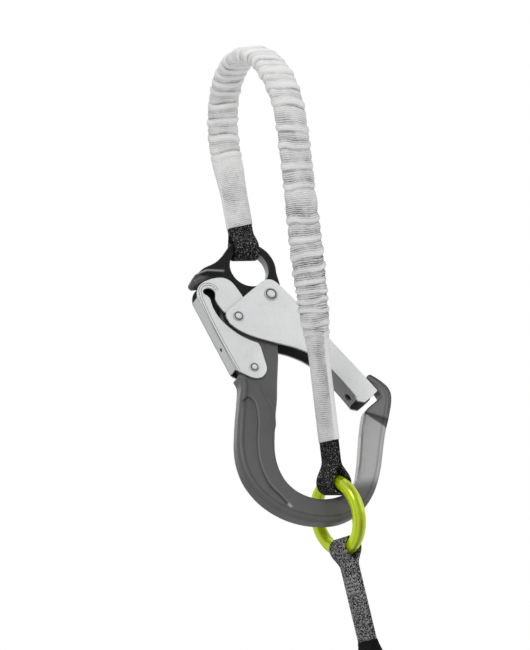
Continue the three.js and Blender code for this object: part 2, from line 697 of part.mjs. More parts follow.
const gateTip = arc(gatePivot, gateReach, ...gateTipDegrees, coarseSteps);
const gateOutline = [...line(gateUpperShares), ...gateTip, ...line(gateLowerShares)];
const gateCheek = plate(gateOutline, gateWall);
const gateWebLine = line(gateWebShares);
const gateWeb = plate(ribbon(gateWebLine, gateWall), gateChannelWidth);
const webHole = new THREE.CylinderGeometry(
  gateWebHoleRadius,
  gateWebHoleRadius,
  gateWebHoleDepth,
  roundSteps,
);
const webAlong = new THREE.Vector2().subVectors(gateWebLine.at(-1), gateWebLine.at(-2));
webHole.rotateZ(Math.atan2(webAlong.y, webAlong.x));
webHole.translate(at(gateWebHoleShare).x, at(gateWebHoleShare).y, 0);
const gate = build(gateWeb, {
  add: [-1, 1].map((side) => gateCheek.clone().translate(0, 0, side * (gateFace - gateWall / 2))),
  cut: [
    webHole,
    pin(gatePivot, gatePivotRadius + clearance, -gateChannelWidth, gateChannelWidth),
    pin(lockPin, lockPinRadius + clearance, -gateChannelWidth, gateChannelWidth),
  ],
});
place(hook, 'gate_channel', gate, zincSteel);

function rivet(centre, radius, headRadius, face) {
  const seat = face + clearance;
  return build(pin(centre, radius, -seat, seat), {
    add: [rivetHead(centre, headRadius, seat, 1), rivetHead(centre, headRadius, seat, -1)],
  });
}
const gatePivotRivet = rivet(gatePivot, gatePivotRadius, gatePivotHeadRadius, gateFace);
const leverPivotRivet = rivet(leverPivot, leverPivotRadius, leverPivotHeadRadius, leverFace);
place(hook, 'lock_pin', rivet(lockPin, lockPinRadius, lockPinHeadRadius, gateFace), zincSteel);
place(hook, 'gate_pivot_rivet', gatePivotRivet, zincSteel);
place(hook, 'lever_pivot_rivet', leverPivotRivet, zincSteel);

// A washer on the blank side fills the space between the body and the gate's cheek
const washerBottom = eyeFace + clearance;
const washerTop = gateInside - clearance;
const washerHole = pin(gatePivot, gatePivotRadius + clearance, -gateFace, 0);
const washer = build(pin(gatePivot, gateWasherRadius, -washerTop, -washerBottom), { cut: [washerHole] });
place(hook, 'gate_pivot_washer', washer, zincSteel);

// The return springs sit in pockets in the body, round the two pivots

const coilBottom = pocketFloor + clearance + springWire / 2;
const gateCoilPitch = (gateInside - clearance - springWire / 2 - coilBottom) / springTurns;
const leverCoilPitch = (leverInside - clearance - springWire / 2 - coilBottom) / springTurns;
const gateCoil = coilSpring(gatePivot, gateSpringRadius - clearance, coilBottom, gateCoilPitch, [
  { startDegrees: gateSpringStartDegrees, length: springShortLeg }, { length: gateSpringRadius },
]);
place(hook, 'gate_spring', gateCoil, springSteel);
const leverCoil = coilSpring(leverPivot, leverSpringRadius - clearance, coilBottom, leverCoilPitch, [
  { startDegrees: leverSpringStartDegrees, length: springShortLeg }, { length: springShortLeg },
]);
place(hook, 'lever_spring', leverCoil, springSteel);

// The lock lever: a folded steel channel along the back of the hook. The lock pin runs in its slot

const spine = line(leverSpineShares);
const foot = arc(leverPivot, leverFootRadius, ...leverFootDegrees, coarseSteps);
const dome = arc(leverPivot, leverDomeRadius, ...leverDomeDegrees, arcSteps);
const leverOutline = [
  ...foot, ...spine, ...line(leverDomeCornerShares), ...dome,
  ...line(leverDomeRightShares), ...line(leverSlotShares), ...line(leverRightShares),
];
const leverCheek = plate(leverOutline, leverWall);
const spineRun = new THREE.Vector2().subVectors(spine[1], spine[0]).normalize();
const spineInward = new THREE.Vector2(spineRun.y, -spineRun.x).multiplyScalar(leverWall / 2);
const spineMiddle = spine.map((point) => point.clone().add(spineInward));
const leverWeb = plate(ribbon(spineMiddle, leverWall), leverChannelWidth);

// Seen from the lever, the pin moves up and back as gate and lever turn together
const pinPath = Array.from({ length: pinPathSteps + 1 }, (_, i) => {
  const share = i / pinPathSteps;
  const point = lockPin.clone().rotateAround(gatePivot, -THREE.MathUtils.degToRad(gateOpening * share));
  return point.rotateAround(leverPivot, THREE.MathUtils.degToRad(leverTravel * share));
});
const beyond = (end, inner) => end.clone().add(end.clone().sub(inner).setLength(lockPinRadius));
const slotPath = [beyond(pinPath[0], pinPath[1]), ...pinPath, beyond(pinPath.at(-1), pinPath.at(-2))];
const runningSlot = plate(ribbon(slotPath, pinSlotWidth), leverChannelWidth + cutOverrun);
const lever = build(leverWeb, {
  add: [-1, 1].map((side) => leverCheek.clone().translate(0, 0, side * (leverFace - leverWall / 2))),
  cut: [runningSlot, pin(leverPivot, leverPivotRadius + clearance, -leverChannelWidth, leverChannelWidth)],
});
place(hook, 'lock_lever', lever, zincSteel);

// The ring, upright, its plane turned almost edge-on to the hook's throat

const ringUp = ringEndUp.clone();
const ringCentre = ringEndFrame.place.clone().addScaledVector(ringUp, -ringBearing);
const ringThrough = new THREE.Vector3().crossVectors(ringUp, ringEndFrame.width).normalize();
const ring = new THREE.Mesh(
  new THREE.TorusGeometry(ringMeanRadius, ringBarRadius, ringBarSteps, ringSteps),
  limeAlloy,
);
ring.name = 'tie_back_ring';
ring.position.copy(ringCentre);
ring.quaternion.setFromUnitVectors(new THREE.Vector3(0, 0, 1), ringThrough);
lanyard.add(ring);

// The tail: a webbing eye round the foot of the ring, sewn to two plies that run into the absorber

const down = new THREE.Vector3(0, 0, -1).projectOnPlane(ringThrough).normalize();
const ringAcross = new THREE.Vector3().crossVectors(ringThrough, down).normalize();
const tail = sewnGroup(ringCentre.clone().addScaledVector(down, ringBearing), down, ringAcross);
const tailInCover = (absorberLength - tearRunLength) / 2;
const tailEye = eyeOutline(barHalfDepth + clearance, tailVisibleLength + tailInCover - clearance);
place(tail, 'tail_webbing', webbingEye(tailEye), blackWebbing);
const tailTackStart = tailEye.neck + tailTackGap;
sew(tail, 'tail_stitching', tailTackStart, stitchRowsOnTail);

function roundedBox(width, length, depth, corner, bevel, fromLength) {
  const side = width / 2 - corner;
  const near = fromLength + corner;
  const far = fromLength + length - corner;
  const outline = [[side, near], [side, far], [-side, far], [-side, near]].flatMap(([x, y], i) => {
    const turn = 90 * (i - 1);
    return arc(new THREE.Vector2(x, y), corner, turn, turn + 90, cornerSteps);
  });
  return plate(outline, depth, bevel);
}
const webSlotThickness = 2 * (plyThickness + clearance);
const webSlotWidth = webWidth + 2 * clearance;
const webSlotLength = absorberLength + 2 * cutOverrun;
const webSlotFrom = tailVisibleLength - cutOverrun;
const webSlot = roundedBox(webSlotThickness, webSlotLength, webSlotWidth, webSlotCorner, 0, webSlotFrom);
const [outerSize, innerSize] = [0, coverWall].map((wall) => [
  absorberThickness - 2 * wall, absorberLength - 2 * wall, absorberWidth - 2 * wall,
  absorberCorner - wall, absorberBevel, tailVisibleLength + wall,
]);
const cover = build(roundedBox(...outerSize), { cut: [roundedBox(...innerSize), webSlot] });
place(tail, 'absorber_cover', cover, blackCloth);

// The tear webbing lies in the cover in long folds
const tearTop = tailVisibleLength + tailInCover;
const foldEnds = [tearTop + tearWebThickness / 2, tearTop + tearRunLength - tearWebThickness / 2];
const folds = [];
for (let run = 0; run < tearRuns; run += 1) {
  const across = (run - (tearRuns - 1) / 2) * tearRunPitch;
  const ends = run % 2 === 0 ? foldEnds : [...foldEnds].reverse();
  folds.push(...ends.map((end) => new THREE.Vector2(across, end)));
}
place(tail, 'absorber_tear_webbing', plate(ribbon(folds, tearWebThickness), tearWebWidth), whiteWebbing);

// The harness loop hangs below the cover, its plies sewn inside
const harnessUp = down.clone().negate();
const harnessBight = absorberLength + tailVisibleLength + harnessLoopReach;
const harness = sewnGroup(tail.position.clone().addScaledVector(down, harnessBight), harnessUp, ringAcross);
const harnessEye = eyeOutline(harnessLoopRadius, harnessLoopReach + tailInCover - clearance);
place(harness, 'harness_loop', webbingEye(harnessEye), blackWebbing);
const harnessTackStart = harnessEye.neck + stitchPitch;
sew(harness, 'harness_loop_stitching', harnessTackStart, stitchRowsOnHarnessLoop);

export default lanyard;
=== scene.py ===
import math

import bmesh
import bpy
import numpy as np
from mathutils import Matrix, Vector


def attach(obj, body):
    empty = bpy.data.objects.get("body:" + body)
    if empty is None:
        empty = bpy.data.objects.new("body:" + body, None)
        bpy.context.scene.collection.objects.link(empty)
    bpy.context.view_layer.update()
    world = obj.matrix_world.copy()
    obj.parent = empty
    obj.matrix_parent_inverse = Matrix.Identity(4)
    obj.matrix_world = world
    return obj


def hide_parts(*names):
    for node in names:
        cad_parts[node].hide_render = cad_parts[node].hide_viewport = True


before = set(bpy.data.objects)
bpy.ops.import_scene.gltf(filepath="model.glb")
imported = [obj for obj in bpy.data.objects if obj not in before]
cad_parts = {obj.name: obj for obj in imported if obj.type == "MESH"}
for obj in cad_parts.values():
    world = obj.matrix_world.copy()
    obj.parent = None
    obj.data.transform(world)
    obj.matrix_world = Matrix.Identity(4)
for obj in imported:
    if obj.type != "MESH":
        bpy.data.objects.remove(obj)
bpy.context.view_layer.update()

bpy.ops.object.select_all(action="DESELECT")


# ---- Camera -------------------------------------------------------------------------------------
# A long lens, more than two metres away. It looks at the hook from the left and a little below,
# and leans slightly.

camera_data = bpy.data.cameras.new("camera")
camera_data.sensor_fit = "VERTICAL"
camera_data.sensor_height = 36
camera_data.lens = 166.15
camera_data.clip_end = 50
camera = bpy.data.objects.new("camera", camera_data)
bpy.context.collection.objects.link(camera)
camera_right = Vector((0.9036, -0.3822, -0.1934)).normalized()
camera_back = Vector((-0.4134, -0.8964, -0.1598)).normalized()
camera_axes = Matrix((camera_right, camera_back.cross(camera_right), camera_back)).transposed()
camera.matrix_world = Matrix.Translation((-1.00675, -2.1181, -0.58955)) @ camera_axes.to_4x4()
bpy.context.scene.camera = camera


# ---- Arm: gathered sleeve -----------------------------------------------------------------------
# An elastic tube woven in fine cross ribs. It is gathered into raised crests over most of its
# length, drawn flat and smooth at both ends, and turned by most of a quarter before the ring.

# Sizes are in millimetres in every section, and a finished piece is placed in metres
MM = 0.001
# The arm's middle line, from the bight in the hook's eye to the bight round the ring
ARM_ROUTE = [
    (-11.5, 52.4, -139.2), (-9.6, 55.2, -119.4), (-7.9, 58.0, -99.6), (-6.6, 60.7, -80.4),
    (-5.7, 62.8, -65.8), (-5.2, 62.7, -47.7), (-5.0, 57.3, -30.1), (-4.9, 47.2, -14.8),
    (-4.8, 33.1, -3.1), (-4.6, 16.2, 4.1), (-4.4, -2.0, 6.2), (-4.1, -20.1, 3.0),
    (-3.7, -36.5, -5.3), (-3.3, -49.8, -17.9), (-2.9, -59.0, -33.8), (-2.6, -63.2, -51.7),
    (-2.4, -62.1, -70.0), (-2.2, -56.0, -100.0), (-2.1, -49.8, -130.0), (-2.0, -43.6, -160.0),
    (-1.9, -37.4, -190.0), (-1.7, -31.2, -220.0), (-1.5, -25.1, -250.0), (-1.3, -18.9, -280.0),
    (-1.1, -12.6, -310.0), (-1.0, -5.5, -344.2),
]
TWIST_DEGREES = 78
TWIST_FROM_RING = (240, 90)
# From each bight to the end of the sleeve
HOOK_NECK = 20
RING_NECK = 33
# Width and thickness of the sleeve, gathered and flat
PUFFED = (25.2, 12.2)
FLAT = (22.4, 6.8)
SLEEVE_SIDES = 72
SLEEVE_STEP = 0.9
RIB_PITCH = 1.65
# Where the crests lie along the arm, and how far each leans over half the width
CRESTS = [
    (82, 1), (97, -1), (112, 0.5), (126, 1), (139, -0.5), (149, 1), (158.5, 0), (168, -1), (178, 1),
    (191, 0.5), (205, 2), (219, 2.5), (233, 3), (248, 3), (262.6, 3), (276.4, 2.8), (296.5, 2.2),
    (309.4, 1.3), (325.6, 0.5), (341.1, 0.3), (367.5, 0.2), (382.9, -0.8), (394.7, -1.6),
    (406.8, -1.6), (416.8, -1), (424, 0.6), (431.7, -0.8), (438.8, 0.7), (449.8, -0.8),
    (457.5, 0.4),
]
# How much darker the gathered cloth gets along the arm
GATHERED_AT = [60, 120, 200, 250, 276, 300, 350, 390, 470]
GATHERED_TONE = [0.7, 0.6, 0.3, 0.35, 0.6, 0.8, 0.9, 1.1, 1]
SLEEVE_WHITE = (0.82, 0.82, 0.815, 1)
SLEEVE_STRETCHED_AND_SHADED = (0.115, 0.115, 0.12, 1)


def smoothstep(values, low, high):
    share = np.clip((np.asarray(values, float) - low) / (high - low), 0, 1)
    return share * share * (3 - 2 * share)


def hump(values, middle, width):
    """1 at the middle, and falling away smoothly over the width."""
    return np.exp(-(((values - middle) / width) ** 2))


def squared(wave, power):
    """A sine or cosine, squared off below a power of 1."""
    return np.sign(wave) * np.abs(wave) ** power


def unit(vectors):
    vectors = np.asarray(vectors, float)
    return vectors / np.linalg.norm(vectors, axis=-1, keepdims=True)


def spline(points, per=12, cyclic=False):
    """A smooth line through points: centripetal Catmull-Rom."""
    points = np.array(points, float)
    if cyclic:
        padded = np.vstack([points[-1:], points, points[:2]])
    else:
        padded = np.vstack([2 * points[0] - points[1], points, 2 * points[-1] - points[-2]])
    share = (np.arange(per) / per)[:, None]
    line = []
    for before, start, end, after in zip(padded, padded[1:], padded[2:], padded[3:]):
        first, second, third = (
            np.linalg.norm(b - a) ** 0.5 for a, b in ((before, start), (start, end), (end, after))
        )
        leave = (start - before) / first - (end - before) / (first + second) + (end - start) / second
        reach = (end - start) / second - (after - start) / (second + third) + (after - end) / third
        leave, reach = leave * second, reach * second
        line.append(
            (2 * start - 2 * end + leave + reach) * share**3
            + (-3 * start + 3 * end - 2 * leave - reach) * share**2
            + leave * share
            + start
        )
    if not cyclic:
        line.append(points[-1:])
    return np.vstack(line)


def along(line):
    """The length along a line at each of its points."""
    return np.r_[0, np.cumsum(np.linalg.norm(np.diff(line, axis=0), axis=1))]


def waves(places, scale, seed):
    """Soft unevenness, about -1 to 1, from a few seeded waves."""
    random = np.random.default_rng(seed)
    total = np.zeros(places.shape[:-1])
    for _ in range(7):
        direction = unit(random.normal(size=places.shape[-1])) * random.uniform(0.6, 1.6) / scale
        total += np.sin(places @ direction * 2 * math.pi + random.uniform(0, 2 * math.pi))
    return total / 4


ARM_LINE = spline(ARM_ROUTE, per=40)
ARM_AT = along(ARM_LINE)
ARM_LENGTH = ARM_AT[-1]


def arm_frames(lengths):
    """Places along the arm with the directions of its run, width and thickness."""
    lengths = np.atleast_1d(np.asarray(lengths, float))

    def at(wanted):
        wanted = np.clip(wanted, 0, ARM_LENGTH)
        return np.stack([np.interp(wanted, ARM_AT, ARM_LINE[:, axis]) for axis in range(3)], axis=1)

    run = unit(at(lengths + 0.6) - at(lengths - 0.6))
    across = unit(np.array([1.0, 0, 0]) - run * run[:, :1])
    outward = np.cross(run, across)
    from_start = TWIST_FROM_RING[0] - (ARM_LENGTH - lengths)
    turned = smoothstep(from_start, 0, TWIST_FROM_RING[0] - TWIST_FROM_RING[1])
    angle = np.radians(TWIST_DEGREES) * turned[:, None]
    width = across * np.cos(angle) + outward * np.sin(angle)
    return at(lengths), run, width, np.cross(run, width)


def linked(name, data):
    made = bpy.data.objects.new(name, data)
    bpy.context.collection.objects.link(made)
    return made


def close_up(mesh, merge=0):
    """Merges doubles and turns every face outwards."""
    made = bmesh.new()
    made.from_mesh(mesh)
    if merge:
        bmesh.ops.remove_doubles(made, verts=made.verts, dist=merge)
    bmesh.ops.recalc_face_normals(made, faces=made.faces)
    made.to_mesh(mesh)
    made.free()


def skin(name, rings, around, lengths):
    """A closed skin over rings of points. Its UV is in metres: around the rings, and along them."""
    rings = np.asarray(rings, float)
    count, sides, _ = rings.shape
    row, side = (
        grid.ravel() for grid in np.meshgrid(np.arange(count - 1), np.arange(sides), indexing="ij")
    )
    after = (side + 1) % sides
    quads = np.stack([row * sides + side, row * sides + after], axis=1)
    quads = np.c_[quads, quads[:, ::-1] + sides]
    ends = [list(range(sides))[::-1], list(range((count - 1) * sides, count * sides))]
    mesh = bpy.data.meshes.new(name)
    mesh.from_pydata(rings.reshape(-1, 3).tolist(), [], quads.tolist() + ends)
    lengths = np.asarray(lengths, float)
    if lengths.ndim == 1:
        lengths = np.repeat(lengths[:, None], sides, axis=1)
    around = np.asarray(around, float)
    across = np.stack([around[side], around[side + 1], around[side + 1], around[side]], axis=1)
    down = np.stack(
        [lengths[row, side], lengths[row, after], lengths[row + 1, after], lengths[row + 1, side]], axis=1
    )
    corners = np.zeros((len(mesh.loops), 2))
    corners[: quads.size] = np.stack([across, down], axis=-1).reshape(-1, 2) * MM
    mesh.uv_layers.new(name="metres").data.foreach_set("uv", corners.ravel())
    close_up(mesh)
    return linked(name, mesh)


def attribute(made, name, values, domain="POINT"):
    layer = made.data.attributes.new(name, "FLOAT", domain)
    layer.data.foreach_set("value", np.asarray(values, np.float32).ravel())


def placed(made, name, matrix, body, material, replaces=(), sharp_degrees=0):
    """Puts a finished piece in the part's frame, on the body that it moves with."""
    mesh = made.data
    if matrix is not None:
        mesh.transform(matrix)
    made.name = mesh.name = name
    mesh.shade_smooth()
    if sharp_degrees:
        mesh.set_sharp_from_angle(angle=math.radians(sharp_degrees))
    mesh.materials.clear()
    mesh.materials.append(material)
    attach(made, body)
    if replaces:
        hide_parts(*replaces)
    return made


def node(tree, kind, inputs=None, **settings):
    """A shader node with its settings, and its inputs as values or links."""
    made = tree.nodes.new("ShaderNode" + kind)
    for key, value in settings.items():
        setattr(made, key, value)
    for key, value in (inputs or {}).items():
        if isinstance(value, bpy.types.NodeSocket):
            tree.links.new(value, made.inputs[key])
        else:
            made.inputs[key].default_value = value
    return made


def sums(tree, operation, *values, clamp=False):
    return node(tree, "Math", dict(enumerate(values)), operation=operation, use_clamp=clamp).outputs[0]


def mixed(tree, factor, first, second):
    return node(tree, "Mix", {0: factor, 6: first, 7: second}, data_type="RGBA").outputs[2]


def spread(tree, value, low, high, least=0.0, most=1.0):
    return node(tree, "MapRange", {0: value, 1: low, 2: high, 3: least, 4: most}).outputs[0]


def grey(value):
    return (value, value, value, 1)


def finish_of(name, roughness, metallic=0.0, specular=0.5):
    """A material with its principled shader, to be painted by nodes."""
    material = bpy.data.materials.new(name)
    material.use_nodes = True
    tree = material.node_tree
    tree.nodes.clear()
    constants = {"Roughness": roughness, "Metallic": metallic, "Specular IOR Level": specular}
    shader = node(tree, "BsdfPrincipled", constants)
    node(tree, "OutputMaterial", {0: shader.outputs[0]})
    return material, tree, shader


def paint(tree, shader, colour, height, strength, distance):
    relief = node(tree, "Bump", {"Height": height, "Strength": strength, "Distance": distance})
    tree.links.new(colour, shader.inputs["Base Color"])
    tree.links.new(relief.outputs[0], shader.inputs["Normal"])


elastic_cloth, tree, shader = finish_of("elastic_cloth", 0.85, specular=0.25)
uv = node(tree, "UVMap", uv_map="metres").outputs[0]
place = node(tree, "TexCoord").outputs["Object"]
wander = node(tree, "TexNoise", {"Vector": place, "Scale": 170, "Detail": 2}).outputs[0]
ribs_at = sums(tree, "MULTIPLY_ADD", wander, 0.0016, node(tree, "SeparateXYZ", {0: uv}).outputs[1])
phase = sums(tree, "MULTIPLY", ribs_at, 2 * math.pi / (RIB_PITCH * MM))
rib = sums(tree, "MULTIPLY_ADD", sums(tree, "SINE", phase), 0.5, 0.5)
yarn = node(tree, "TexNoise", {"Vector": uv, "Scale": 900, "Detail": 2}).outputs[0]
blotch = node(tree, "TexNoise", {"Vector": place, "Scale": 70, "Detail": 3, "Roughness": 0.7}).outputs[0]
# The cloth goes grey where it is stretched and where painted shade lies between crests, and darker still
# with painted shade in the creases
stretch_and_shade = node(tree, "Attribute", attribute_name="stretch_and_shade").outputs["Fac"]
crease_shade = node(tree, "Attribute", attribute_name="crease_shade").outputs["Fac"]
amount = sums(tree, "MULTIPLY", stretch_and_shade, spread(tree, blotch, 0.35, 0.65, 0.45, 1.1))
amount = sums(tree, "MULTIPLY", amount, spread(tree, yarn, 0.35, 0.65, 0.7, 1.15))
amount = sums(tree, "MULTIPLY", amount, sums(tree, "MULTIPLY_ADD", rib, -0.85, 1.15))
deep = spread(tree, blotch, 0.4, 0.6, 0.35, 0.75)
amount = sums(tree, "MULTIPLY_ADD", crease_shade, deep, amount, clamp=True)
cloth_height = sums(tree, "MULTIPLY_ADD", yarn, 0.5, rib)
paint(tree, shader, mixed(tree, amount, SLEEVE_WHITE, SLEEVE_STRETCHED_AND_SHADED), cloth_height, 0.6, 0.0004)

sleeve_start, sleeve_end = HOOK_NECK, ARM_LENGTH - RING_NECK
sleeve_lengths = np.linspace(sleeve_start, sleeve_end, int((sleeve_end - sleeve_start) / SLEEVE_STEP))
sleeve_angles = np.linspace(0, 2 * math.pi, SLEEVE_SIDES, endpoint=False)
grid_length, grid_angle = np.meshgrid(sleeve_lengths, sleeve_angles, indexing="ij")
cosine, sine = np.cos(grid_angle), np.sin(grid_angle)
full = np.minimum(
    smoothstep(sleeve_lengths - 45, 0, 30), smoothstep(ARM_LENGTH - 100 - sleeve_lengths, 0, 34)
)[:, None]
power = 2 / (4.2 - 1.5 * full)
share_x, share_y = squared(cosine, power), squared(sine, power)

rise = np.zeros_like(grid_length)
whiteness = np.zeros_like(grid_length)
crease_shading = np.zeros_like(grid_length)
crest_places = []
random = np.random.default_rng(7)
for crest, lean in CRESTS:
    sway, swing, uneven = random.uniform(0.2, 0.9), random.uniform(0, 6.28), random.uniform(0, 6.28)
    late = crest > 412
    thick = random.uniform(1.9, 2.7) * (0.75 if late else 1)
    tall = random.uniform(1.1, 1.55) * (0.8 if late else 1)
    crest_place = crest + lean * cosine[0] + sway * np.sin(3 * grid_angle[0] + swing)
    crest_places.append(crest_place)
    offset = grid_length - crest_place
    weight = 0.75 + 0.25 * np.sin(2 * grid_angle + uneven)
    rise += tall * weight * hump(offset, 0, thick)
    rise -= 0.6 * tall * hump(offset, 1.55 * thick, 0.9)
    rise -= 0.4 * tall * hump(offset, -1.7 * thick, 1.1)
    whiteness += weight * hump(offset, 0, thick * 1.05)
    # Painted shade: a dark line in the fold below each crest, and a fainter one above it
    crease_shading += weight * hump(offset, 1.6 * thick, 0.75)
    crease_shading += 0.5 * (1 - weight) * hump(offset, -1.7 * thick, 0.8)
crest_places = np.array(crest_places)
crest_shift = crest_places - np.array(CRESTS)[:, :1]
between = np.empty_like(grid_length)
rib_length = np.empty_like(grid_length)
for side in range(SLEEVE_SIDES):
    crossed = crest_places[:, side]
    between[:, side] = np.interp(sleeve_lengths, crossed, np.arange(len(CRESTS))) % 1
    rib_length[:, side] = sleeve_lengths - np.interp(sleeve_lengths, crossed, crest_shift[:, side])
sleeve_spots = np.stack([grid_length, 11 * cosine, 7 * sine], axis=-1)
rumple = 0.34 * waves(sleeve_spots, 13, 3) + 0.2 * waves(sleeve_spots, 5, 4)
rise = full * (rise + rumple + 0.25 * np.sin(math.pi * between)) + 0.05 * waves(sleeve_spots, 9, 5)
# Both ends are cut a little aslant
cut = share_x * (2.1 - 2.1 * smoothstep(grid_length, 20, 36) - 1.3 * smoothstep(grid_length, 525, 542))
centre, run, width, thickness = (values[:, None] for values in arm_frames(sleeve_lengths))
half_width = (FLAT[0] + (PUFFED[0] - FLAT[0]) * full) / 2
half_depth = (FLAT[1] + (PUFFED[1] - FLAT[1]) * full) / 2
rings = (
    centre
    + (half_width * share_x + cosine * rise)[..., None] * width
    + (half_depth * share_y + sine * rise)[..., None] * thickness
    + cut[..., None] * run
)
sleeve = skin("sleeve", rings * MM, np.linspace(0, 62, SLEEVE_SIDES + 1), rib_length)
edge = smoothstep(np.abs(share_x), 0.93, 0.985)
gathered_tone = np.interp(grid_length, GATHERED_AT, GATHERED_TONE)
# Between crests the cloth shows the grey of its stretched yarn, with painted shade darkest just below
# each crest; the crests stay white
gathered_tone *= (0.35 + 0.65 * smoothstep(between, 0.1, 0.85)) * (1 - 0.95 * np.clip(whiteness, 0, 1))
# Painted light: the upper gathered part is made whiter on one side of its width
gathered_tone *= 1 - 0.4 * smoothstep(cosine, 0.3, 1) * (1 - smoothstep(grid_length, 330, 380))
ring_tone = np.interp(grid_length, [460, 500, 542], [1, 1, 0.25])
ring_tone = 0.42 + 0.42 * smoothstep(share_x, -0.35, 0.45) * ring_tone
smooth_tone = np.where(grid_length < 200, 0.66, ring_tone) + 0.12 * waves(sleeve_spots, 26, 9)
stretch_and_shade_values = full * gathered_tone + (1 - full) * smooth_tone * (1 - 0.85 * edge)
attribute(sleeve, "stretch_and_shade", np.clip(stretch_and_shade_values, 0, 1.1))
attribute(sleeve, "crease_shade", np.clip(full * crease_shading, 0, 1))
placed(sleeve, "arm_sleeve_gathered", None, "arm", elastic_cloth, ["arm_sleeve"])
sleeve_path = arm_frames(np.linspace(sleeve_start, sleeve_end, 60))[0] * MM


# ---- Arm: flat core -----------------------------------------------------------------------------
# Flat white webbing that carries the load, hidden by the sleeve. Both its ends are sewn between
# the plies of the eyes.

PLIES_IN_SLEEVE = 22
CORE_WIDTH = 19
CORE_THICKNESS = 3.2
CORE_GAP = 0.3


def group_of(name, takes, gives):
    """A node group with number sockets, and its two end nodes."""
    tree = bpy.data.node_groups.new(name, "ShaderNodeTree")
    for way, sockets in (("INPUT", takes), ("OUTPUT", gives)):
        for socket in sockets:
            tree.interface.new_socket(socket, in_out=way, socket_type="NodeSocketFloat")
    return tree, tree.nodes.new("NodeGroupInput"), tree.nodes.new("NodeGroupOutput")


weave, weave_in, weave_out = group_of("weave", ["Pitch", "Speck"], ["Height", "Fleck"])
pitch = weave_in.outputs["Pitch"]
web_uv = node(weave, "SeparateXYZ", {0: node(weave, "UVMap", uv_map="metres").outputs[0]})
fold = sums(weave, "PINGPONG", web_uv.outputs[0], sums(weave, "MULTIPLY", pitch, 3))
twill = sums(weave, "DIVIDE", sums(weave, "ADD", web_uv.outputs[1], fold), pitch)
warp = sums(weave, "DIVIDE", web_uv.outputs[0], sums(weave, "MULTIPLY", pitch, 0.8))
twill, warp = (sums(weave, "SINE", sums(weave, "MULTIPLY", line, 2 * math.pi)) for line in (twill, warp))
relief = sums(weave, "MULTIPLY_ADD", twill, 0.35, sums(weave, "MULTIPLY_ADD", warp, 0.15, 0.5))
place = node(weave, "TexCoord").outputs["Object"]
scale = sums(weave, "DIVIDE", 1, weave_in.outputs["Speck"])
fleck = node(weave, "TexNoise", {"Vector": place, "Scale": scale, "Detail": 2, "Roughness": 0.7})
weave.links.new(relief, weave_out.inputs["Height"])
weave.links.new(fleck.outputs[0], weave_out.inputs["Fleck"])


def webbing(name, dark, light, fleck_from, pitch=0.0016, speck=0.0011, bump=0.5, specular=0.15):
    """Woven tape or sewing thread: a dark and a light yarn, in a herringbone with flecks."""
    material, tree, shader = finish_of(name, 0.85, specular=specular)
    cloth = node(tree, "Group", node_tree=weave)
    cloth.inputs["Pitch"].default_value = pitch
    cloth.inputs["Speck"].default_value = speck
    flecks = spread(tree, cloth.outputs["Fleck"], fleck_from, fleck_from + 0.1)
    tone = sums(tree, "MULTIPLY", sums(tree, "MULTIPLY_ADD", cloth.outputs["Height"], 0.7, 0.4), flecks)
    paint(tree, shader, mixed(tree, tone, dark, light), cloth.outputs["Height"], bump, 0.0003)
    return material


def tape_section(width, thickness):
    """A tape's cross-section with rounded edges: across and through."""
    radius = thickness / 2
    flat = np.linspace(radius - width / 2, width / 2 - radius, 8)
    angles = np.radians([45, 0, -45])
    edge = np.stack([flat[-1] + radius * np.cos(angles), radius * np.sin(angles)], axis=1)
    half = np.vstack([np.c_[flat, np.full(len(flat), radius)], edge])
    return np.vstack([half, -half])


white_webbing = webbing("white_webbing", (0.5, 0.5, 0.49, 1), (0.78, 0.78, 0.76, 1), 0.35)
core_ends = HOOK_NECK + PLIES_IN_SLEEVE + CORE_GAP, ARM_LENGTH - RING_NECK - PLIES_IN_SLEEVE - CORE_GAP
core_lengths = np.linspace(*core_ends, 240)
section = tape_section(CORE_WIDTH, CORE_THICKNESS)
centre, _, width, thickness = (values[:, None] for values in arm_frames(core_lengths))
rings = centre + section[None, :, :1] * width + section[None, :, 1:] * thickness
core = skin("core", rings * MM, along(np.vstack([section, section[:1]])), core_lengths)
placed(core, "arm_core_tape", None, "arm", white_webbing, ["arm_core_webbing"])


# ---- Hook-end eye -------------------------------------------------------------------------------
# Black webbing goes through the hook's eye round its rim and up again. Its two plies are sewn
# together above the neck and run up into the sleeve. A thin lining keeps the rim from chafing it.

PLY = 2.1
EYE_WEB_WIDTH = 21.2
APEX_RATIO = 1.78
HOOK_BIGHT_RADIUS = 7.24
LINING = 0.7
LINING_SET_IN = 0.7
THREAD_RADIUS = 0.3
TACK_WIDTH = 15.5
TACK_TURNS = 12
STITCH_PITCH = 3.0


def ring_of(centre, radius, start_degrees=0, end_degrees=360, steps=64):
    """Points of an arc; a whole circle leaves out its last point."""
    angles = np.radians(np.linspace(start_degrees, end_degrees, steps + 1))
    points = np.stack([centre[0] + radius * np.cos(angles), centre[1] + radius * np.sin(angles)], axis=1)
    return points[:-1] if end_degrees - start_degrees == 360 else points


def resampled(line, step):
    length = along(line)
    wanted = np.linspace(0, length[-1], max(2, math.ceil(length[-1] / step) + 1))
    return np.stack([np.interp(wanted, length, line[:, axis]) for axis in range(line.shape[1])], axis=1)


def softened(line, rounds):
    for _ in range(rounds):
        line[1:-1] = 0.25 * line[:-2] + 0.5 * line[1:-1] + 0.25 * line[2:]
    return line


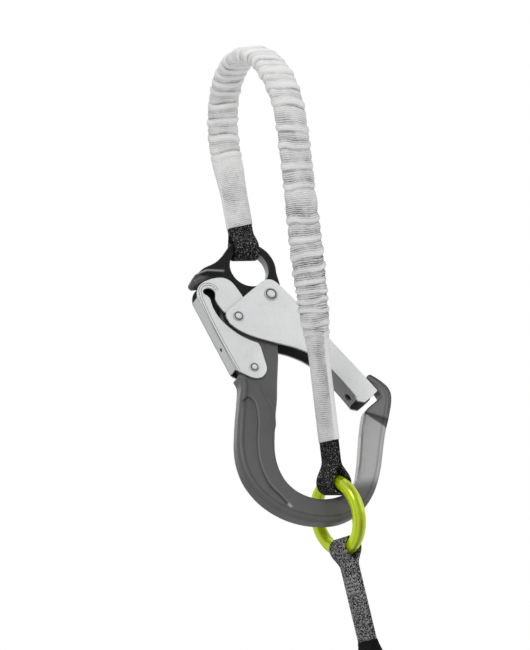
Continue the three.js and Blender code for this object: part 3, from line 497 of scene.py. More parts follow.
def eye_line(inner_radius, top):
    """The tape's middle line from one ply's end round the bight to the other's, and the neck's height."""
    radius = inner_radius + PLY / 2
    lean = math.asin(1 / APEX_RATIO)
    neck = (radius - (PLY / 2) * math.cos(lean)) / math.sin(lean)
    down = np.array([[-PLY / 2, top], [-PLY / 2, neck]])
    bight = ring_of((0, 0), radius, 180 - math.degrees(lean), 360 + math.degrees(lean), 40)
    return softened(resampled(np.vstack([down, bight, down[::-1] * [-1, 1]]), 0.8), 14), neck


def left_of(line):
    """The direction to the left of a flat line, at each of its points."""
    run = unit(np.gradient(line, axis=0))
    return np.stack([-run[:, 1], run[:, 0]], axis=1)


def tape(line, width, thickness=PLY):
    """A tape along a flat line of points; its width lies along z."""
    section = tape_section(width, thickness)
    flat = line[:, None] + section[None, :, 1:] * left_of(line)[:, None]
    across = np.broadcast_to(section[None, :, :1], (len(line), len(section), 1))
    around = along(np.vstack([section, section[:1]]))
    return skin("tape", np.concatenate([flat, across], axis=-1), around, along(line))


def lining(bight_radius):
    line = ring_of((0, 0), bight_radius - LINING_SET_IN, 172, 368, 36)
    return tape(line, EYE_WEB_WIDTH - 1, LINING)


def wire(points, radius, sides=8, flatten=1.0):
    """A thread or bead of round section along points, closed at both ends."""
    points = np.asarray(points, float)
    run = unit(np.gradient(points, axis=0))
    side = np.cross([0.0, 0, 1], run)
    side[np.linalg.norm(side, axis=1) < 1e-3] = [1, 0, 0]
    side = unit(side)
    over = np.cross(run, side)
    angles = np.linspace(0, 2 * math.pi, sides, endpoint=False)[None, :, None]
    rings = points[:, None] + radius * (
        np.cos(angles) * side[:, None] + flatten * np.sin(angles) * over[:, None]
    )
    return skin("wire", rings, np.linspace(0, 2 * math.pi * radius, sides + 1), along(points))


def joined(parts):
    """Joins finished shapes into one object."""
    bpy.ops.object.select_all(action="DESELECT")
    for part in parts:
        part.select_set(True)
    bpy.context.view_layer.objects.active = parts[0]
    bpy.ops.object.join()
    parts[0].select_set(False)
    return parts[0]


def stitch(x, start, z, radius):
    """One stitch along y; x says how high it lies over its five points."""
    y = start + np.array([0, 0.3, 1.0, 1.7, 2.0])
    return wire(np.stack([x, y, np.full(5, z)], axis=1), radius, 5)


def tacked(name, stitching, matrix, body, thread, bars, rows, edges):
    """Zigzag rows across a sewn pair of plies and stitches down its edges, on both faces."""
    row_height = (bars[1] - bars[0]) / rows
    for side, end in ((1, "front"), (-1, "back")):
        threads = []
        for row in range(rows):
            x = np.full(TACK_TURNS, side * (PLY + THREAD_RADIUS * 0.35))
            y = bars[0] + row_height * (row + 0.5 + 0.34 * (-1.0) ** np.arange(TACK_TURNS))
            z = np.linspace(-TACK_WIDTH / 2, TACK_WIDTH / 2, TACK_TURNS)
            threads.append(wire(resampled(np.stack([x, y, z], axis=1), 0.7), THREAD_RADIUS, 5))
        x = side * (PLY + THREAD_RADIUS * np.array([-1.0, 0.5, 0.7, 0.5, -1.0]))
        for z in (-TACK_WIDTH / 2 - 0.8, TACK_WIDTH / 2 + 0.8):
            for start in np.arange(*edges, STITCH_PITCH):
                threads.append(stitch(x, start, z, THREAD_RADIUS * 0.85))
        placed(joined(threads), f"{name}_{end}", matrix, body, thread, [f"{stitching}_{end}"])


def frame_matrix(origin, x, y, z):
    """From a piece's own millimetres to the part's metres."""
    axes = Matrix((Vector(x), Vector(y), Vector(z))).transposed().to_4x4()
    return Matrix.Translation(Vector(origin) * MM) @ axes @ Matrix.Scale(MM, 4)


def sewn_frame(origin, up, width):
    return frame_matrix(origin, np.cross(up, width), up, width)


black_webbing = webbing("black_webbing", grey(0.0035), grey(0.42), 0.56)
black_cloth = webbing("black_cloth", grey(0.002), grey(0.016), 0.5, pitch=0.0009, bump=0.35, specular=0.1)
dark_thread = webbing("dark_thread", grey(0.006), grey(0.07), 0.45, pitch=0.0007, bump=0.3)

hook_end_place, hook_end_run, hook_end_width, _ = (values[0] for values in arm_frames(0))
hook_end = sewn_frame(hook_end_place, hook_end_run, hook_end_width)
line, neck = eye_line(HOOK_BIGHT_RADIUS, HOOK_NECK + PLIES_IN_SLEEVE)
eye = tape(line, EYE_WEB_WIDTH)
placed(eye, "hook_end_tape", hook_end, "arm", black_webbing, ["hook_end_loop"])
guard = lining(HOOK_BIGHT_RADIUS)
placed(guard, "hook_end_lining", hook_end, "arm", black_cloth, ["hook_end_chafe_guard"])
bars, edges = (neck + 0.2, neck + 6.6), (neck - 0.5, neck + 6)
tacked("hook_end_tack", "hook_end_stitching", hook_end, "arm", dark_thread, bars, 3, edges)


# ---- Ring-end eye -------------------------------------------------------------------------------
# The same webbing and lining, round the top of the ring. The neck is longer here, and is sewn with
# six rows of bar tacks.

RING_BIGHT_RADIUS = 8.01

ring_end_place, ring_end_run, ring_end_width, _ = (values[0] for values in arm_frames(ARM_LENGTH))
ring_end_up = -ring_end_run
ring_end = sewn_frame(ring_end_place, ring_end_up, ring_end_width)
line, neck = eye_line(RING_BIGHT_RADIUS, RING_NECK + PLIES_IN_SLEEVE)
eye = tape(line, EYE_WEB_WIDTH)
placed(eye, "ring_end_tape", ring_end, "arm", black_webbing, ["ring_end_loop"])
guard = lining(RING_BIGHT_RADIUS)
placed(guard, "ring_end_lining", ring_end, "arm", black_cloth, ["ring_end_chafe_guard"])
bars, edges = (neck + 0.5, RING_NECK - 1), (neck - 1, RING_NECK - 2)
tacked("ring_end_tack", "ring_end_stitching", ring_end, "arm", dark_thread, bars, 6, edges)


# ---- Hook body ----------------------------------------------------------------------------------
# One dark-coated alloy forging: the eye with its rounded rim, the spur over the lever, the shank,
# the bow with a sunk panel on both faces, and the thinner arm that carries the nose.

HOOK_LEAN = math.radians(13)
HOOK_BEARING = 18.287
EYE_HOLE_RADIUS = 16.5
EYE_OUTER_RADIUS = 23.3
RIM_HALF_HEIGHT = 5.1
BOW_THICKNESS = 16
BOW_ROUNDING = 4.2
GATE_PIVOT = (9.2, -27.4)
LOCK_PIN = (-24.2, -43.1)
LEVER_PIVOT = (-22.8, -87.5)
SPUR_RADIUS = 82.2
SPUR_DEPTH = 3.8
VOXEL = 0.7
# Outer and inner edge of the bow at stations from under the lever to the nose
BOW_OUTER = [
    (-38.2, -92), (-37.6, -99), (-42.6, -113), (-47.3, -125), (-52, -138), (-55.8, -150),
    (-57.9, -163), (-57.3, -176), (-53.8, -187.5), (-47.8, -198), (-39.5, -207.2), (-29, -215),
    (-16.5, -220.8), (-3, -224.2), (11, -225), (24, -222.2), (35, -216.6), (44.2, -208.3),
    (52, -198.3), (58.8, -186.8), (65.5, -172.3), (72, -158.3), (79.5, -144.8), (86.3, -130.8),
    (87.8, -124), (86.4, -118.3), (82.2, -112.8), (77.5, -108.3), (74.6, -106),
]
BOW_INNER = [
    (-33, -97), (-25.5, -101.5), (-21.5, -110), (-17.5, -123), (-17.8, -134), (-22, -146),
    (-26.5, -162), (-27, -175), (-24.3, -186), (-19, -194), (-13, -199), (-6.5, -202.4),
    (0, -204.4), (6, -205), (13, -204.8), (20, -203.3), (26, -201), (31.5, -197), (36.5, -190.7),
    (41, -182), (46, -169.5), (51, -157), (58, -141.5), (61.3, -136.2), (78.4, -125.2),
    (77.8, -121), (75, -115.4), (72.1, -109.4), (71.6, -107),
]
UPPER_OUTLINE = [
    (-53.2, -6.1), (-51.1, -3.4), (-47.6, -0.3), (-44, 1.6), (-38.8, 4.6), (-32.5, 6.5),
    (-26.6, 8.8), (-18.7, 14.4), (-9, 22.9), (0, 22), (10, 19), (19, 10), (21.8, 0), (21.9, -8),
    (21.5, -24), (19, -35), (14, -46.1), (8.6, -58), (3.8, -70.5), (1.1, -80.9), (-2.5, -91.5),
    (-6.8, -104), (-10.8, -116.4), (-15.8, -129), (-20.6, -141), (-40, -128), (-35.9, -108),
    (-33.4, -96), (-34.6, -84), (-34.6, -40), (-33.8, -12), (-38, -11.4), (-48.1, -10.6),
    (-51.4, -10.2), (-53.3, -8.8),
]
PANEL_STEP = [
    (-41.0, -114.8), (-38.3, -112.8), (-35.3, -112.2), (-32.7, -116), (-32.1, -123),
    (-34.4, -134.7), (-39.9, -151), (-42.7, -165.9), (-42.3, -177.8), (-39.6, -188.3),
    (-33.9, -197.5), (-28.2, -207.8),
]
PANEL_OUTSIDE = [
    (-31, -207.8), (-39.6, -202.4), (-48, -193.7), (-54, -182.7), (-56.4, -170.4), (-55.8, -157),
    (-52.2, -140.5), (-46.8, -124.2),
]
PANEL_DEPTH = 1.5
RIDGE = [(-23.2, -100.5), (-19.7, -114.7), (-18.4, -127.0), (-20.5, -139.0), (-24.5, -152)]
SPUR_GROOVE = [(-46.9, -0.7), (-36.8, 1.4), (-23.3, -0.9), (-23.9, -3.6), (-36.6, -4.3)]
ARM_EDGE = [(57.7, -140.5), (51.5, -157), (45.9, -171.8), (40, -184.6), (32.7, -193.8)]


grain, grain_in, grain_out = group_of("grain", ["Size"], ["Fine", "Cloud"])
place = node(grain, "TexCoord").outputs["Object"]
scale = sums(grain, "DIVIDE", 1, grain_in.outputs["Size"])
fine = node(grain, "TexNoise", {"Vector": place, "Scale": scale, "Detail": 3, "Roughness": 0.65})
scale = sums(grain, "MULTIPLY", scale, 0.06)
broad = node(grain, "TexNoise", {"Vector": place, "Scale": scale, "Detail": 2})
grain.links.new(fine.outputs[0], grain_out.inputs["Fine"])
grain.links.new(spread(grain, broad.outputs[0], 0.3, 0.7, -0.12, 0.12), grain_out.inputs["Cloud"])


def metal(
    name, dark, light, metallic, roughness, specular=0.5, size=0.0006, speck=1.0, bump=0.12, toned=True
):
    """Metal with a fine grain. Toned, it goes from dark to light with the tone painted on the piece,
    which mostly holds painted light and shade.
    """
    material, tree, shader = finish_of(name, roughness, metallic, specular)
    noise = node(tree, "Group", node_tree=grain)
    noise.inputs["Size"].default_value = size
    fine, cloud = noise.outputs["Fine"], noise.outputs["Cloud"]
    if toned:
        tone = node(tree, "Attribute", attribute_name="tone").outputs["Fac"]
        speckle = spread(tree, fine, 0.3, 0.7, 1 - 0.08 * speck, 1 + 0.06 * speck)
        uneven = sums(tree, "MULTIPLY_ADD", cloud, 0.3, speckle)
        factor = sums(tree, "MULTIPLY", tone, uneven, clamp=True)
    else:
        factor = sums(tree, "ADD", spread(tree, fine, 0.3, 0.7), cloud, clamp=True)
    paint(tree, shader, mixed(tree, factor, dark, light), fine, bump, 0.0002)
    gloss = spread(tree, fine, 0.3, 0.7, roughness - 0.05, roughness + 0.07)
    tree.links.new(gloss, shader.inputs["Roughness"])
    return material


def read(mesh_part, key, width=3):
    flat = np.empty(width * len(mesh_part))
    mesh_part.foreach_get(key, flat)
    return flat.reshape(-1, width)


def plate(outlines, thickness, bevel, height=0.0, steps=2):
    """A flat plate with rounded edges: the first outline is its edge, the others are its holes."""
    data = bpy.data.curves.new("plate", "CURVE")
    data.dimensions = "2D"
    data.fill_mode = "BOTH"
    data.extrude = thickness / 2 - bevel
    data.bevel_depth = bevel
    data.bevel_resolution = steps
    data.offset = -bevel
    for index, outline in enumerate(outlines):
        outline = np.asarray(outline, float)
        after = np.roll(outline, -1, axis=0)
        area = np.sum(outline[:, 0] * after[:, 1] - after[:, 0] * outline[:, 1])
        if (area > 0) != (index == 0):
            outline = outline[::-1]
        line = data.splines.new("POLY")
        line.points.add(len(outline) - 1)
        corners = np.c_[outline, np.zeros(len(outline)), np.ones(len(outline))]
        line.points.foreach_set("co", corners.ravel())
        line.use_cyclic_u = True
    made = linked("plate", data)
    bpy.ops.object.select_all(action="DESELECT")
    made.select_set(True)
    bpy.context.view_layer.objects.active = made
    bpy.ops.object.convert(target="MESH")
    made = bpy.context.object
    made.select_set(False)
    close_up(made.data, 0.002)
    made.data.transform(Matrix.Translation((0, 0, height)))
    return made


def shaped(made, kind, **settings):
    """Adds a modifier and applies it."""
    bpy.context.view_layer.objects.active = made
    modifier = made.modifiers.new(kind, kind)
    for key, value in settings.items():
        setattr(modifier, key, value)
    bpy.ops.object.modifier_apply(modifier=modifier.name)
    return made


def bar_ring(mean_radius, half_width, half_height, squareness, segments, sides):
    """A torus whose bar is squared off, from round at a squareness of 1."""
    bpy.ops.mesh.primitive_torus_add(
        major_segments=segments, minor_segments=sides, major_radius=mean_radius, minor_radius=half_width,
        location=(0, 0, 0),
    )
    made = bpy.context.object
    made.select_set(False)
    places = read(made.data.vertices, "co")
    out = np.hypot(places[:, 0], places[:, 1])
    angle = np.arctan2(places[:, 2], out - mean_radius)
    reach = mean_radius + half_width * squared(np.cos(angle), squareness)
    places[:, :2] *= (reach / out)[:, None]
    places[:, 2] = half_height * squared(np.sin(angle), squareness)
    made.data.vertices.foreach_set("co", places.ravel())
    return made


def to_line(points, line):
    """How far flat points are from a line of points."""
    best = np.full(len(points), 1e9)
    for start, end in zip(line, line[1:]):
        run = end - start
        share = np.clip(((points - start) @ run) / max(run @ run, 1e-12), 0, 1)
        best = np.minimum(best, np.linalg.norm(points - start - share[:, None] * run, axis=1))
    return best


def within(points, outline):
    """How far flat points are inside a closed outline; negative outside."""
    closed = np.vstack([outline, outline[:1]])
    inside = np.zeros(len(points), bool)
    for start, end in zip(closed, closed[1:]):
        crosses = (start[1] > points[:, 1]) != (end[1] > points[:, 1])
        aslant = (end[0] - start[0]) / (end[1] - start[1] or 1e-12)
        inside ^= crosses & (points[:, 0] < aslant * (points[:, 1] - start[1]) + start[0])
    distance = to_line(points, closed)
    return np.where(inside, distance, -distance)


def near_line(points, line, width):
    return hump(to_line(points, line), 0, width)


hook_normal = np.array([0, -math.cos(HOOK_LEAN), math.sin(HOOK_LEAN)])
hook_up = np.array([0, math.sin(HOOK_LEAN), math.cos(HOOK_LEAN)])
hang_run = unit(hook_end_run - hook_normal * (hook_end_run @ hook_normal))
hook_frame = frame_matrix(hook_end_place - hang_run * HOOK_BEARING, (1, 0, 0), hook_up, hook_normal)

# The bow is lofted through its stations, with rounded corners
outer, inner = spline(BOW_OUTER, per=6), spline(BOW_INNER, per=6)
quarter = np.radians(np.linspace(0, 90, 7))
rings = []
for step, (low, inward) in enumerate(zip(outer, inner - outer)):
    wide = np.linalg.norm(inward)
    corner = min(BOW_ROUNDING, wide * 0.42) * min(1, 0.3 + step / 18)
    across = corner * (1 - np.sin(quarter))
    high = BOW_THICKNESS / 2 - corner * (1 - np.cos(quarter))
    section = np.vstack([
        np.c_[across, high][::-1], np.c_[wide - across, high],
        np.c_[wide - across, -high][::-1], np.c_[across, -high],
    ])
    rings.append(np.c_[low + inward * (section[:, :1] / wide), section[:, 1]])
bow = skin("bow", rings, np.linspace(0, 1, len(rings[0]) + 1), np.arange(len(rings)))

# The lock pin sweeps an arc round the gate's pivot, and the body is cut away for it
pin_from_pivot = np.array(LOCK_PIN) - GATE_PIVOT
pin_arm = np.hypot(*pin_from_pivot)
pin_degrees = math.degrees(math.atan2(pin_from_pivot[1], pin_from_pivot[0]))
pin_sweep = pin_degrees - 34.7, pin_degrees + 4.7
pin_slot = np.vstack([
    ring_of(GATE_PIVOT, pin_arm + 3, *pin_sweep, 14),
    ring_of(GATE_PIVOT, pin_arm - 3, *pin_sweep, 14)[::-1],
])
upper_edge = spline(UPPER_OUTLINE, per=5, cyclic=True)
eye_hole = ring_of((0, 0), EYE_HOLE_RADIUS)
# Two layers, because the spring pockets are open on the front only
low_holes = [eye_hole, pin_slot, ring_of(GATE_PIVOT, 4.3), ring_of(LEVER_PIVOT, 2.9)]
high_holes = [eye_hole, pin_slot, ring_of(GATE_PIVOT, 7.6), ring_of(LEVER_PIVOT, 5.8)]
rim_mean = (EYE_HOLE_RADIUS + EYE_OUTER_RADIUS) / 2
spur_under = ring_of(LEVER_PIVOT, SPUR_RADIUS, 99.5, 110, 20)
spur_over = ring_of(LEVER_PIVOT, SPUR_RADIUS + SPUR_DEPTH, 99.5, 110, 20)[::-1]
body = joined([
    bow,
    plate([upper_edge, *low_holes], 4.6, 0.8, -2.7),
    plate([upper_edge, *high_holes], 6.8, 0.8, 1.6),
    bar_ring(rim_mean, EYE_OUTER_RADIUS - rim_mean + 0.3, RIM_HALF_HEIGHT, 0.62, 96, 28),
    plate([np.vstack([spur_under, spur_over])], 13.4, 1.0),
])
shaped(body, "REMESH", mode="VOXEL", voxel_size=VOXEL)
shaped(body, "SMOOTH", factor=0.5, iterations=3)

places = read(body.data.vertices, "co")
facing = read(body.data.vertex_normals, "vector")
flat, up_side = places[:, :2], np.sign(places[:, 2])
right, up = flat.T
high = np.abs(places[:, 2])
on_face = smoothstep(high, 5.4, 7.0)
# The panel slopes down from the bow's outside to a sharp step
step_line, outside_line = spline(PANEL_STEP, per=5), spline(PANEL_OUTSIDE, per=5)
in_panel = within(flat, np.vstack([step_line, outside_line]))
from_step, from_outside = to_line(flat, step_line), to_line(flat, outside_line)
slope = from_outside / (from_outside + from_step)
panel = PANEL_DEPTH * slope * smoothstep(in_panel, 0, 1.1) * on_face
# A ridge runs down from the shank; the face beyond it falls away to the throat
ridge = spline(RIDGE, per=8)
beyond = right - np.interp(-up, -ridge[:, 1], ridge[:, 0])
slanted = smoothstep(-up, 97, 103) * (1 - smoothstep(-up, 138, 158)) * on_face
slant = 0.4 * np.clip(beyond + 3, 0, 9) * slanted
# The spur has a groove along its root
groove = 1.6 * smoothstep(within(flat, np.array(SPUR_GROOVE)), -0.2, 1.3) * smoothstep(high, 3, 4.5)
# The arm to the nose is thinner, and the nose ends below in a slanted step
on_arm = smoothstep(right, 22, 36) * smoothstep(up, -206, -192)
above = up + 135.6 + 0.462 * (right - 60.1)
below = up + 136.4 + 1.3 * (right - 60.1)
stepped = np.clip(above / np.minimum(above - below, -1e-3), 0, 1)
stepped = np.where(above > 0, 0, np.where(below < 0, 1, stepped))
thinned = 1.9 * on_arm * stepped * smoothstep(high, 3, 7)
places[:, 2] -= up_side * (panel + slant + groove + thinned)
body.data.vertices.foreach_set("co", places.ravel())
body.data.update()

# Painted light on one evenly coated forging: near black on the eye and the spur, a little lighter on the
# spur's lower left, mid grey on the bow and nose, and a pale painted reflection on the arm
tone = 0.006 + 0.155 * smoothstep(-up, 42, 62)
tone += 0.10 * smoothstep(-right, 36, 44) * smoothstep(-up, -2, 4) * smoothstep(up, -30, -12)
tone += (0.60 - tone) * on_arm * stepped * smoothstep(up, -209, -190)
tone += (0.26 - tone) * on_arm * smoothstep(above, -1, 0.5)
# Painted shade on the slanted step under the nose
tone *= 1 - 0.75 * on_arm * smoothstep(stepped, 0.02, 0.2) * (1 - smoothstep(stepped, 0.8, 0.98))
# Painted shade makes a dark line along the panel's step, with a painted highlight beside it and at its
# tip
tone *= 1 - 0.72 * near_line(flat, step_line, 0.9) * smoothstep(slope, 0.4, 0.8) * on_face
tone += 0.16 * near_line(flat, step_line + [0.9, 0.2], 0.55) * (in_panel < 0) * on_face
tone += 0.5 * near_line(flat, step_line[-2:], 0.9) * on_face
arm_edge = spline(ARM_EDGE, per=5)
# Painted shade: a dark line along the inner edge of the arm's face
tone *= 1 - 0.45 * near_line(flat, arm_edge, 0.7) * smoothstep(high, 3, 5)
# Painted light on the side strip inside that edge
inside_edge = right < np.interp(-up, -arm_edge[:, 1], arm_edge[:, 0]) - 0.5
tone += 0.2 * inside_edge * on_arm * stepped * smoothstep(up, -200, -180)
# Painted shade: a dark line where the face turns round to the bow's outside
tone *= 1 - 0.4 * hump(to_line(flat, outer), 4.4, 0.7) * smoothstep(high, 4, 6)
# Painted shade fills the spur's groove, and a painted highlight runs along its upper lip
tone = np.where(groove > 0.3, 0.004, tone)
tone += 0.55 * near_line(flat, np.array(SPUR_GROOVE)[:3] + [0, 0.6], 0.6) * smoothstep(high, 3.5, 4.5)
# The inner wall of the eye is made lighter on its right side
round_eye = np.degrees(np.arctan2(up, right))
eye_wall_lighter = (np.hypot(right, up) < EYE_HOLE_RADIUS + 1.2) & (np.abs(round_eye - 8) < 42)
tone += 0.45 * eye_wall_lighter * (1 - smoothstep(high, 2.5, 4.5))
# Convex edges are made lighter
edges = read(body.data.edges, "vertices", 2).astype(int)
apart = places[edges[:, 1]] - places[edges[:, 0]]
turn = np.sum((facing[edges[:, 1]] - facing[edges[:, 0]]) * apart, axis=1) / np.sum(apart**2, axis=1)
bend = sum(np.bincount(edges[:, end], turn, len(places)) for end in (0, 1))
bend /= np.maximum(sum(np.bincount(edges[:, end], minlength=len(places)) for end in (0, 1)), 1)
tone *= 1 + 0.45 * smoothstep(bend, 0.12, 0.5)
attribute(body, "tone", np.clip(tone, 0, 1))
coated_alloy = metal("coated_alloy", grey(0.006), grey(0.62), 0.2, 0.42, specular=0.14)
placed(body, "hook_body_forging", hook_frame, "hook", coated_alloy, ["hook_body"])


# ---- Gate, lock pin and gate pivot --------------------------------------------------------------
# A folded channel of zinc-plated steel that straddles the body and turns on a rivet with a domed
# head in a dished rim. A second rivet, the lock pin, joins its cheeks at the heel.

GATE_WIDTH = 18
GATE_WALL = 1.8
GATE_REACH = 115.4
GATE_UPPER = [
    (-34.4, -42.9), (-34.2, -40.0), (-32.6, -37.2), (-29.4, -35.4), (-24.1, -32.3), (-16.6, -27.8),
    (-8, -22.6), (-0.7, -18.6), (5.4, -15.1), (10.5, -14.0), (14.6, -15.2), (18.0, -18.6),
    (21.1, -23.4), (25, -29.6), (30.1, -38), (47.3, -71.3), (59.3, -93.2), (67.9, -108.6),
    (74.8, -121.6),
]
GATE_LOWER = [
    (55.2, -128.6), (50.4, -116.4), (43.4, -103), (38, -94.5), (32.1, -87.5), (25.3, -81.6),
    (15.8, -75.9), (7.9, -72.5), (0, -69.4), (-7.9, -66), (-15.6, -62.4), (-22.6, -58.3),
    (-28.5, -53.6), (-33.2, -48.1),
]
GATE_WEB = [(33.9, -89.7), (38, -94.5), (43.4, -103), (50.4, -116), (55.4, -126.4)]
WEB_HOLE = (53.2, -120.8)
WEB_HOLE_RADIUS = 3.4
GATE_PIVOT_SIZES = (4, 5.6)
LOCK_PIN_SIZES = (2.4, 4.4)
SEAT_GAP = 0.2
INSIDE_SHADE_TONE = 0.02


def tint(made, tone_of):
    """Gives each face its tone, from its centre and its direction."""
    tones = tone_of(read(made.data.polygons, "center"), read(made.data.polygons, "normal"))
    attribute(made, "tone", tones, "FACE")
    return made


def cheeks(edge, holes, channel_width, wall, bevel):
    """Both cheeks of a folded channel: bright outside, with painted shade on their edges and inside."""
    inside = channel_width / 2 - wall + 0.1

    def tone_of(centre, normal):
        # Painted shade: edge walls at half tone, faces inside the channel near black
        outside = np.where(np.abs(normal[:, 2]) > 0.93, 1.0, 0.52)
        return np.where(np.abs(centre[:, 2]) < inside, INSIDE_SHADE_TONE, outside)

    middle = (channel_width - wall) / 2
    return [tint(plate([edge, *holes], wall, bevel, side * middle), tone_of) for side in (1, -1)]


def turned(profile, centre, steps=48):
    """A piece turned about z from a profile of radius and height that runs from axis to axis."""
    mesh = bpy.data.meshes.new("profile")
    points = [(radius, 0, height) for radius, height in profile]
    mesh.from_pydata(points, [(start, start + 1) for start in range(len(points) - 1)], [])
    made = linked("turned", mesh)
    shaped(made, "SCREW", steps=steps, render_steps=steps, use_merge_vertices=True, merge_threshold=0.001)
    close_up(made.data, 0.001)
    made.data.transform(Matrix.Translation((*centre, 0)))
    return made


def rivet(centre, sizes, seat):
    """A rivet with a raised rim, a dished ring darkened by painted shade and a low dome with a painted
    highlight, on each cheek.
    """
    shank, head = sizes
    crown = [
        (1, 0), (1, 0.3), (0.95, 0.55), (0.84, 0.5), (0.76, 0.1), (0.66, 0.1), (0.6, 0.7), (0.45, 1.1),
        (0.24, 1.3), (0, 1.35),
    ]
    head_profile = [(share * head, seat + height) for share, height in crown]
    foot_profile = [(radius, -height) for radius, height in head_profile[::-1]]
    made = turned([*foot_profile, (shank, -seat), (shank, seat), *head_profile], centre)

    def tone_of(place, normal):
        # Painted shade in the dished ring, and a painted highlight on the middle of the dome
        radius = np.hypot(place[:, 0] - centre[0], place[:, 1] - centre[1]) / head
        dished = smoothstep(radius, 0.58, 0.68) * (1 - smoothstep(radius, 0.78, 0.84))
        return (0.95 - 0.3 * smoothstep(radius, 0.4, 0.6)) * (1 - 0.93 * dished)

    return tint(made, tone_of)


def on_wall(made, place, run, out):
    """Turns a piece made about z so that it stands on a wall, facing out, at a flat place."""
    made.data.transform(Matrix((
        (run[0], 0, out[0], place[0]), (run[1], 0, out[1], place[1]), (0, -1, 0, 0), (0, 0, 0, 1),
    )))
    close_up(made.data)
    return made


zinc_steel = metal("zinc_steel", grey(0.012), (0.68, 0.685, 0.69, 1), 0.3, 0.45, size=0.0008, speck=1.7)
gate_tip = ring_of(GATE_PIVOT, GATE_REACH, -63.4, -55.6, 8)[::-1]
gate_edge = np.vstack([spline(GATE_UPPER, per=5), gate_tip, spline(GATE_LOWER, per=5)])
gate_holes = [ring_of(GATE_PIVOT, 4.3, steps=32), ring_of(LOCK_PIN, 2.7, steps=32)]
web_line = spline(GATE_WEB, per=10)
web_left = left_of(web_line)
web_side = web_left * GATE_WALL / 2
web = plate([np.vstack([web_line + web_side, (web_line - web_side)[::-1]])], GATE_WIDTH, 0.6, steps=3)
drill = turned([(0, -5), (WEB_HOLE_RADIUS, -5), (WEB_HOLE_RADIUS, 5), (0, 5)], (0, 0))
hole_out = web_left[np.argmin(np.linalg.norm(web_line - WEB_HOLE, axis=1))]
hole_run = np.array([hole_out[1], -hole_out[0]])
on_wall(drill, WEB_HOLE, hole_run, hole_out)
shaped(web, "BOOLEAN", operation="DIFFERENCE", object=drill, solver="EXACT")
bpy.data.objects.remove(drill)
# Painted shade: the web is dark, darkest on its ends
tint(web, lambda centre, normal: np.where(np.abs(normal[:, :2] @ hole_run) > 0.3, 0.1, 0.25))
gate = joined([web, *cheeks(gate_edge, gate_holes, GATE_WIDTH, GATE_WALL, 0.45)])
placed(gate, "gate_folded_channel", hook_frame, "gate", zinc_steel, ["gate_channel"], 40)
gate_seat = GATE_WIDTH / 2 + SEAT_GAP
pivot = rivet(GATE_PIVOT, GATE_PIVOT_SIZES, gate_seat)
placed(pivot, "gate_pivot_domed", hook_frame, "hook", zinc_steel, ["gate_pivot_rivet"], 50)
pin = rivet(LOCK_PIN, LOCK_PIN_SIZES, gate_seat)
placed(pin, "lock_pin_domed", hook_frame, "gate", zinc_steel, ["lock_pin"], 50)


# ---- Lock lever and its pivot -------------------------------------------------------------------
# A narrower folded channel of the same steel along the hook's back. The lock pin runs in its bent
# slot. Each cheek is pressed into a bead beside the spine and round the top of the slot.

LEVER_WIDTH = 13.6
LEVER_WALL = 1.4
LEVER_DOME = [
    (-53.0, -21.5), (-52.3, -17.5), (-49.9, -13.0), (-45.6, -9.6), (-38.5, -7.3), (-31.7, -6.6),
    (-25.7, -7.4), (-21.0, -10.6), (-18.3, -14.9), (-16.0, -20.6), (-14.2, -26.4), (-13.6, -33),
    (-14.9, -37.3),
]
LEVER_SLOT = [
    (-21.9, -37.8), (-29.5, -38.2), (-33.4, -37.6), (-35.5, -34.4), (-37.5, -29.6), (-38.3, -25.0),
    (-36.9, -19.4), (-37.9, -16.6), (-40.4, -14.9), (-43.8, -14.8), (-46.3, -16.2), (-46.7, -18.8),
    (-44.6, -20.9), (-42.8, -24.1), (-42.6, -28.3), (-42.2, -33), (-40.8, -38.4), (-38.9, -42.9),
    (-36.5, -46.9), (-32.1, -52.6), (-26.9, -58.2), (-19.9, -63.4), (-13.4, -67.0),
]
LEVER_FOOT = [
    (-12.1, -70.5), (-12.1, -80.9), (-12.4, -89.5), (-14.8, -93.9), (-19, -96.7), (-23.5, -97.0),
    (-28, -95.4), (-32.6, -92.2), (-38.9, -87.4),
]
SPINE = np.array([(-38.9, -86.6), (-53.0, -21.2)])
BEAD = [
    (-36.4, -88.6), (-41.2, -70), (-45.6, -49.7), (-48.7, -31), (-49.7, -21), (-48.7, -14.8),
    (-45.2, -11.7), (-40.2, -11.5), (-36.2, -13.6), (-34.4, -17.5),
]
BEAD_RADIUS = 0.8
BEAD_SUNK = 0.1
SPINE_HOLE_AT = (-43.3, -66.4)
LEVER_PIVOT_SIZES = (2.6, 3.8)

lever_edge = np.vstack([spline(LEVER_DOME, per=5), spline(LEVER_SLOT, per=5), spline(LEVER_FOOT, per=5)])
lever_parts = cheeks(lever_edge, [ring_of(LEVER_PIVOT, 2.9, steps=24)], LEVER_WIDTH, LEVER_WALL, 0.35)
spine_run = unit(SPINE[1] - SPINE[0])
spine_in = np.array([spine_run[1], -spine_run[0]])
spine = plate([np.vstack([SPINE, (SPINE + spine_in * LEVER_WALL)[::-1]])], LEVER_WIDTH, 0.5, steps=3)
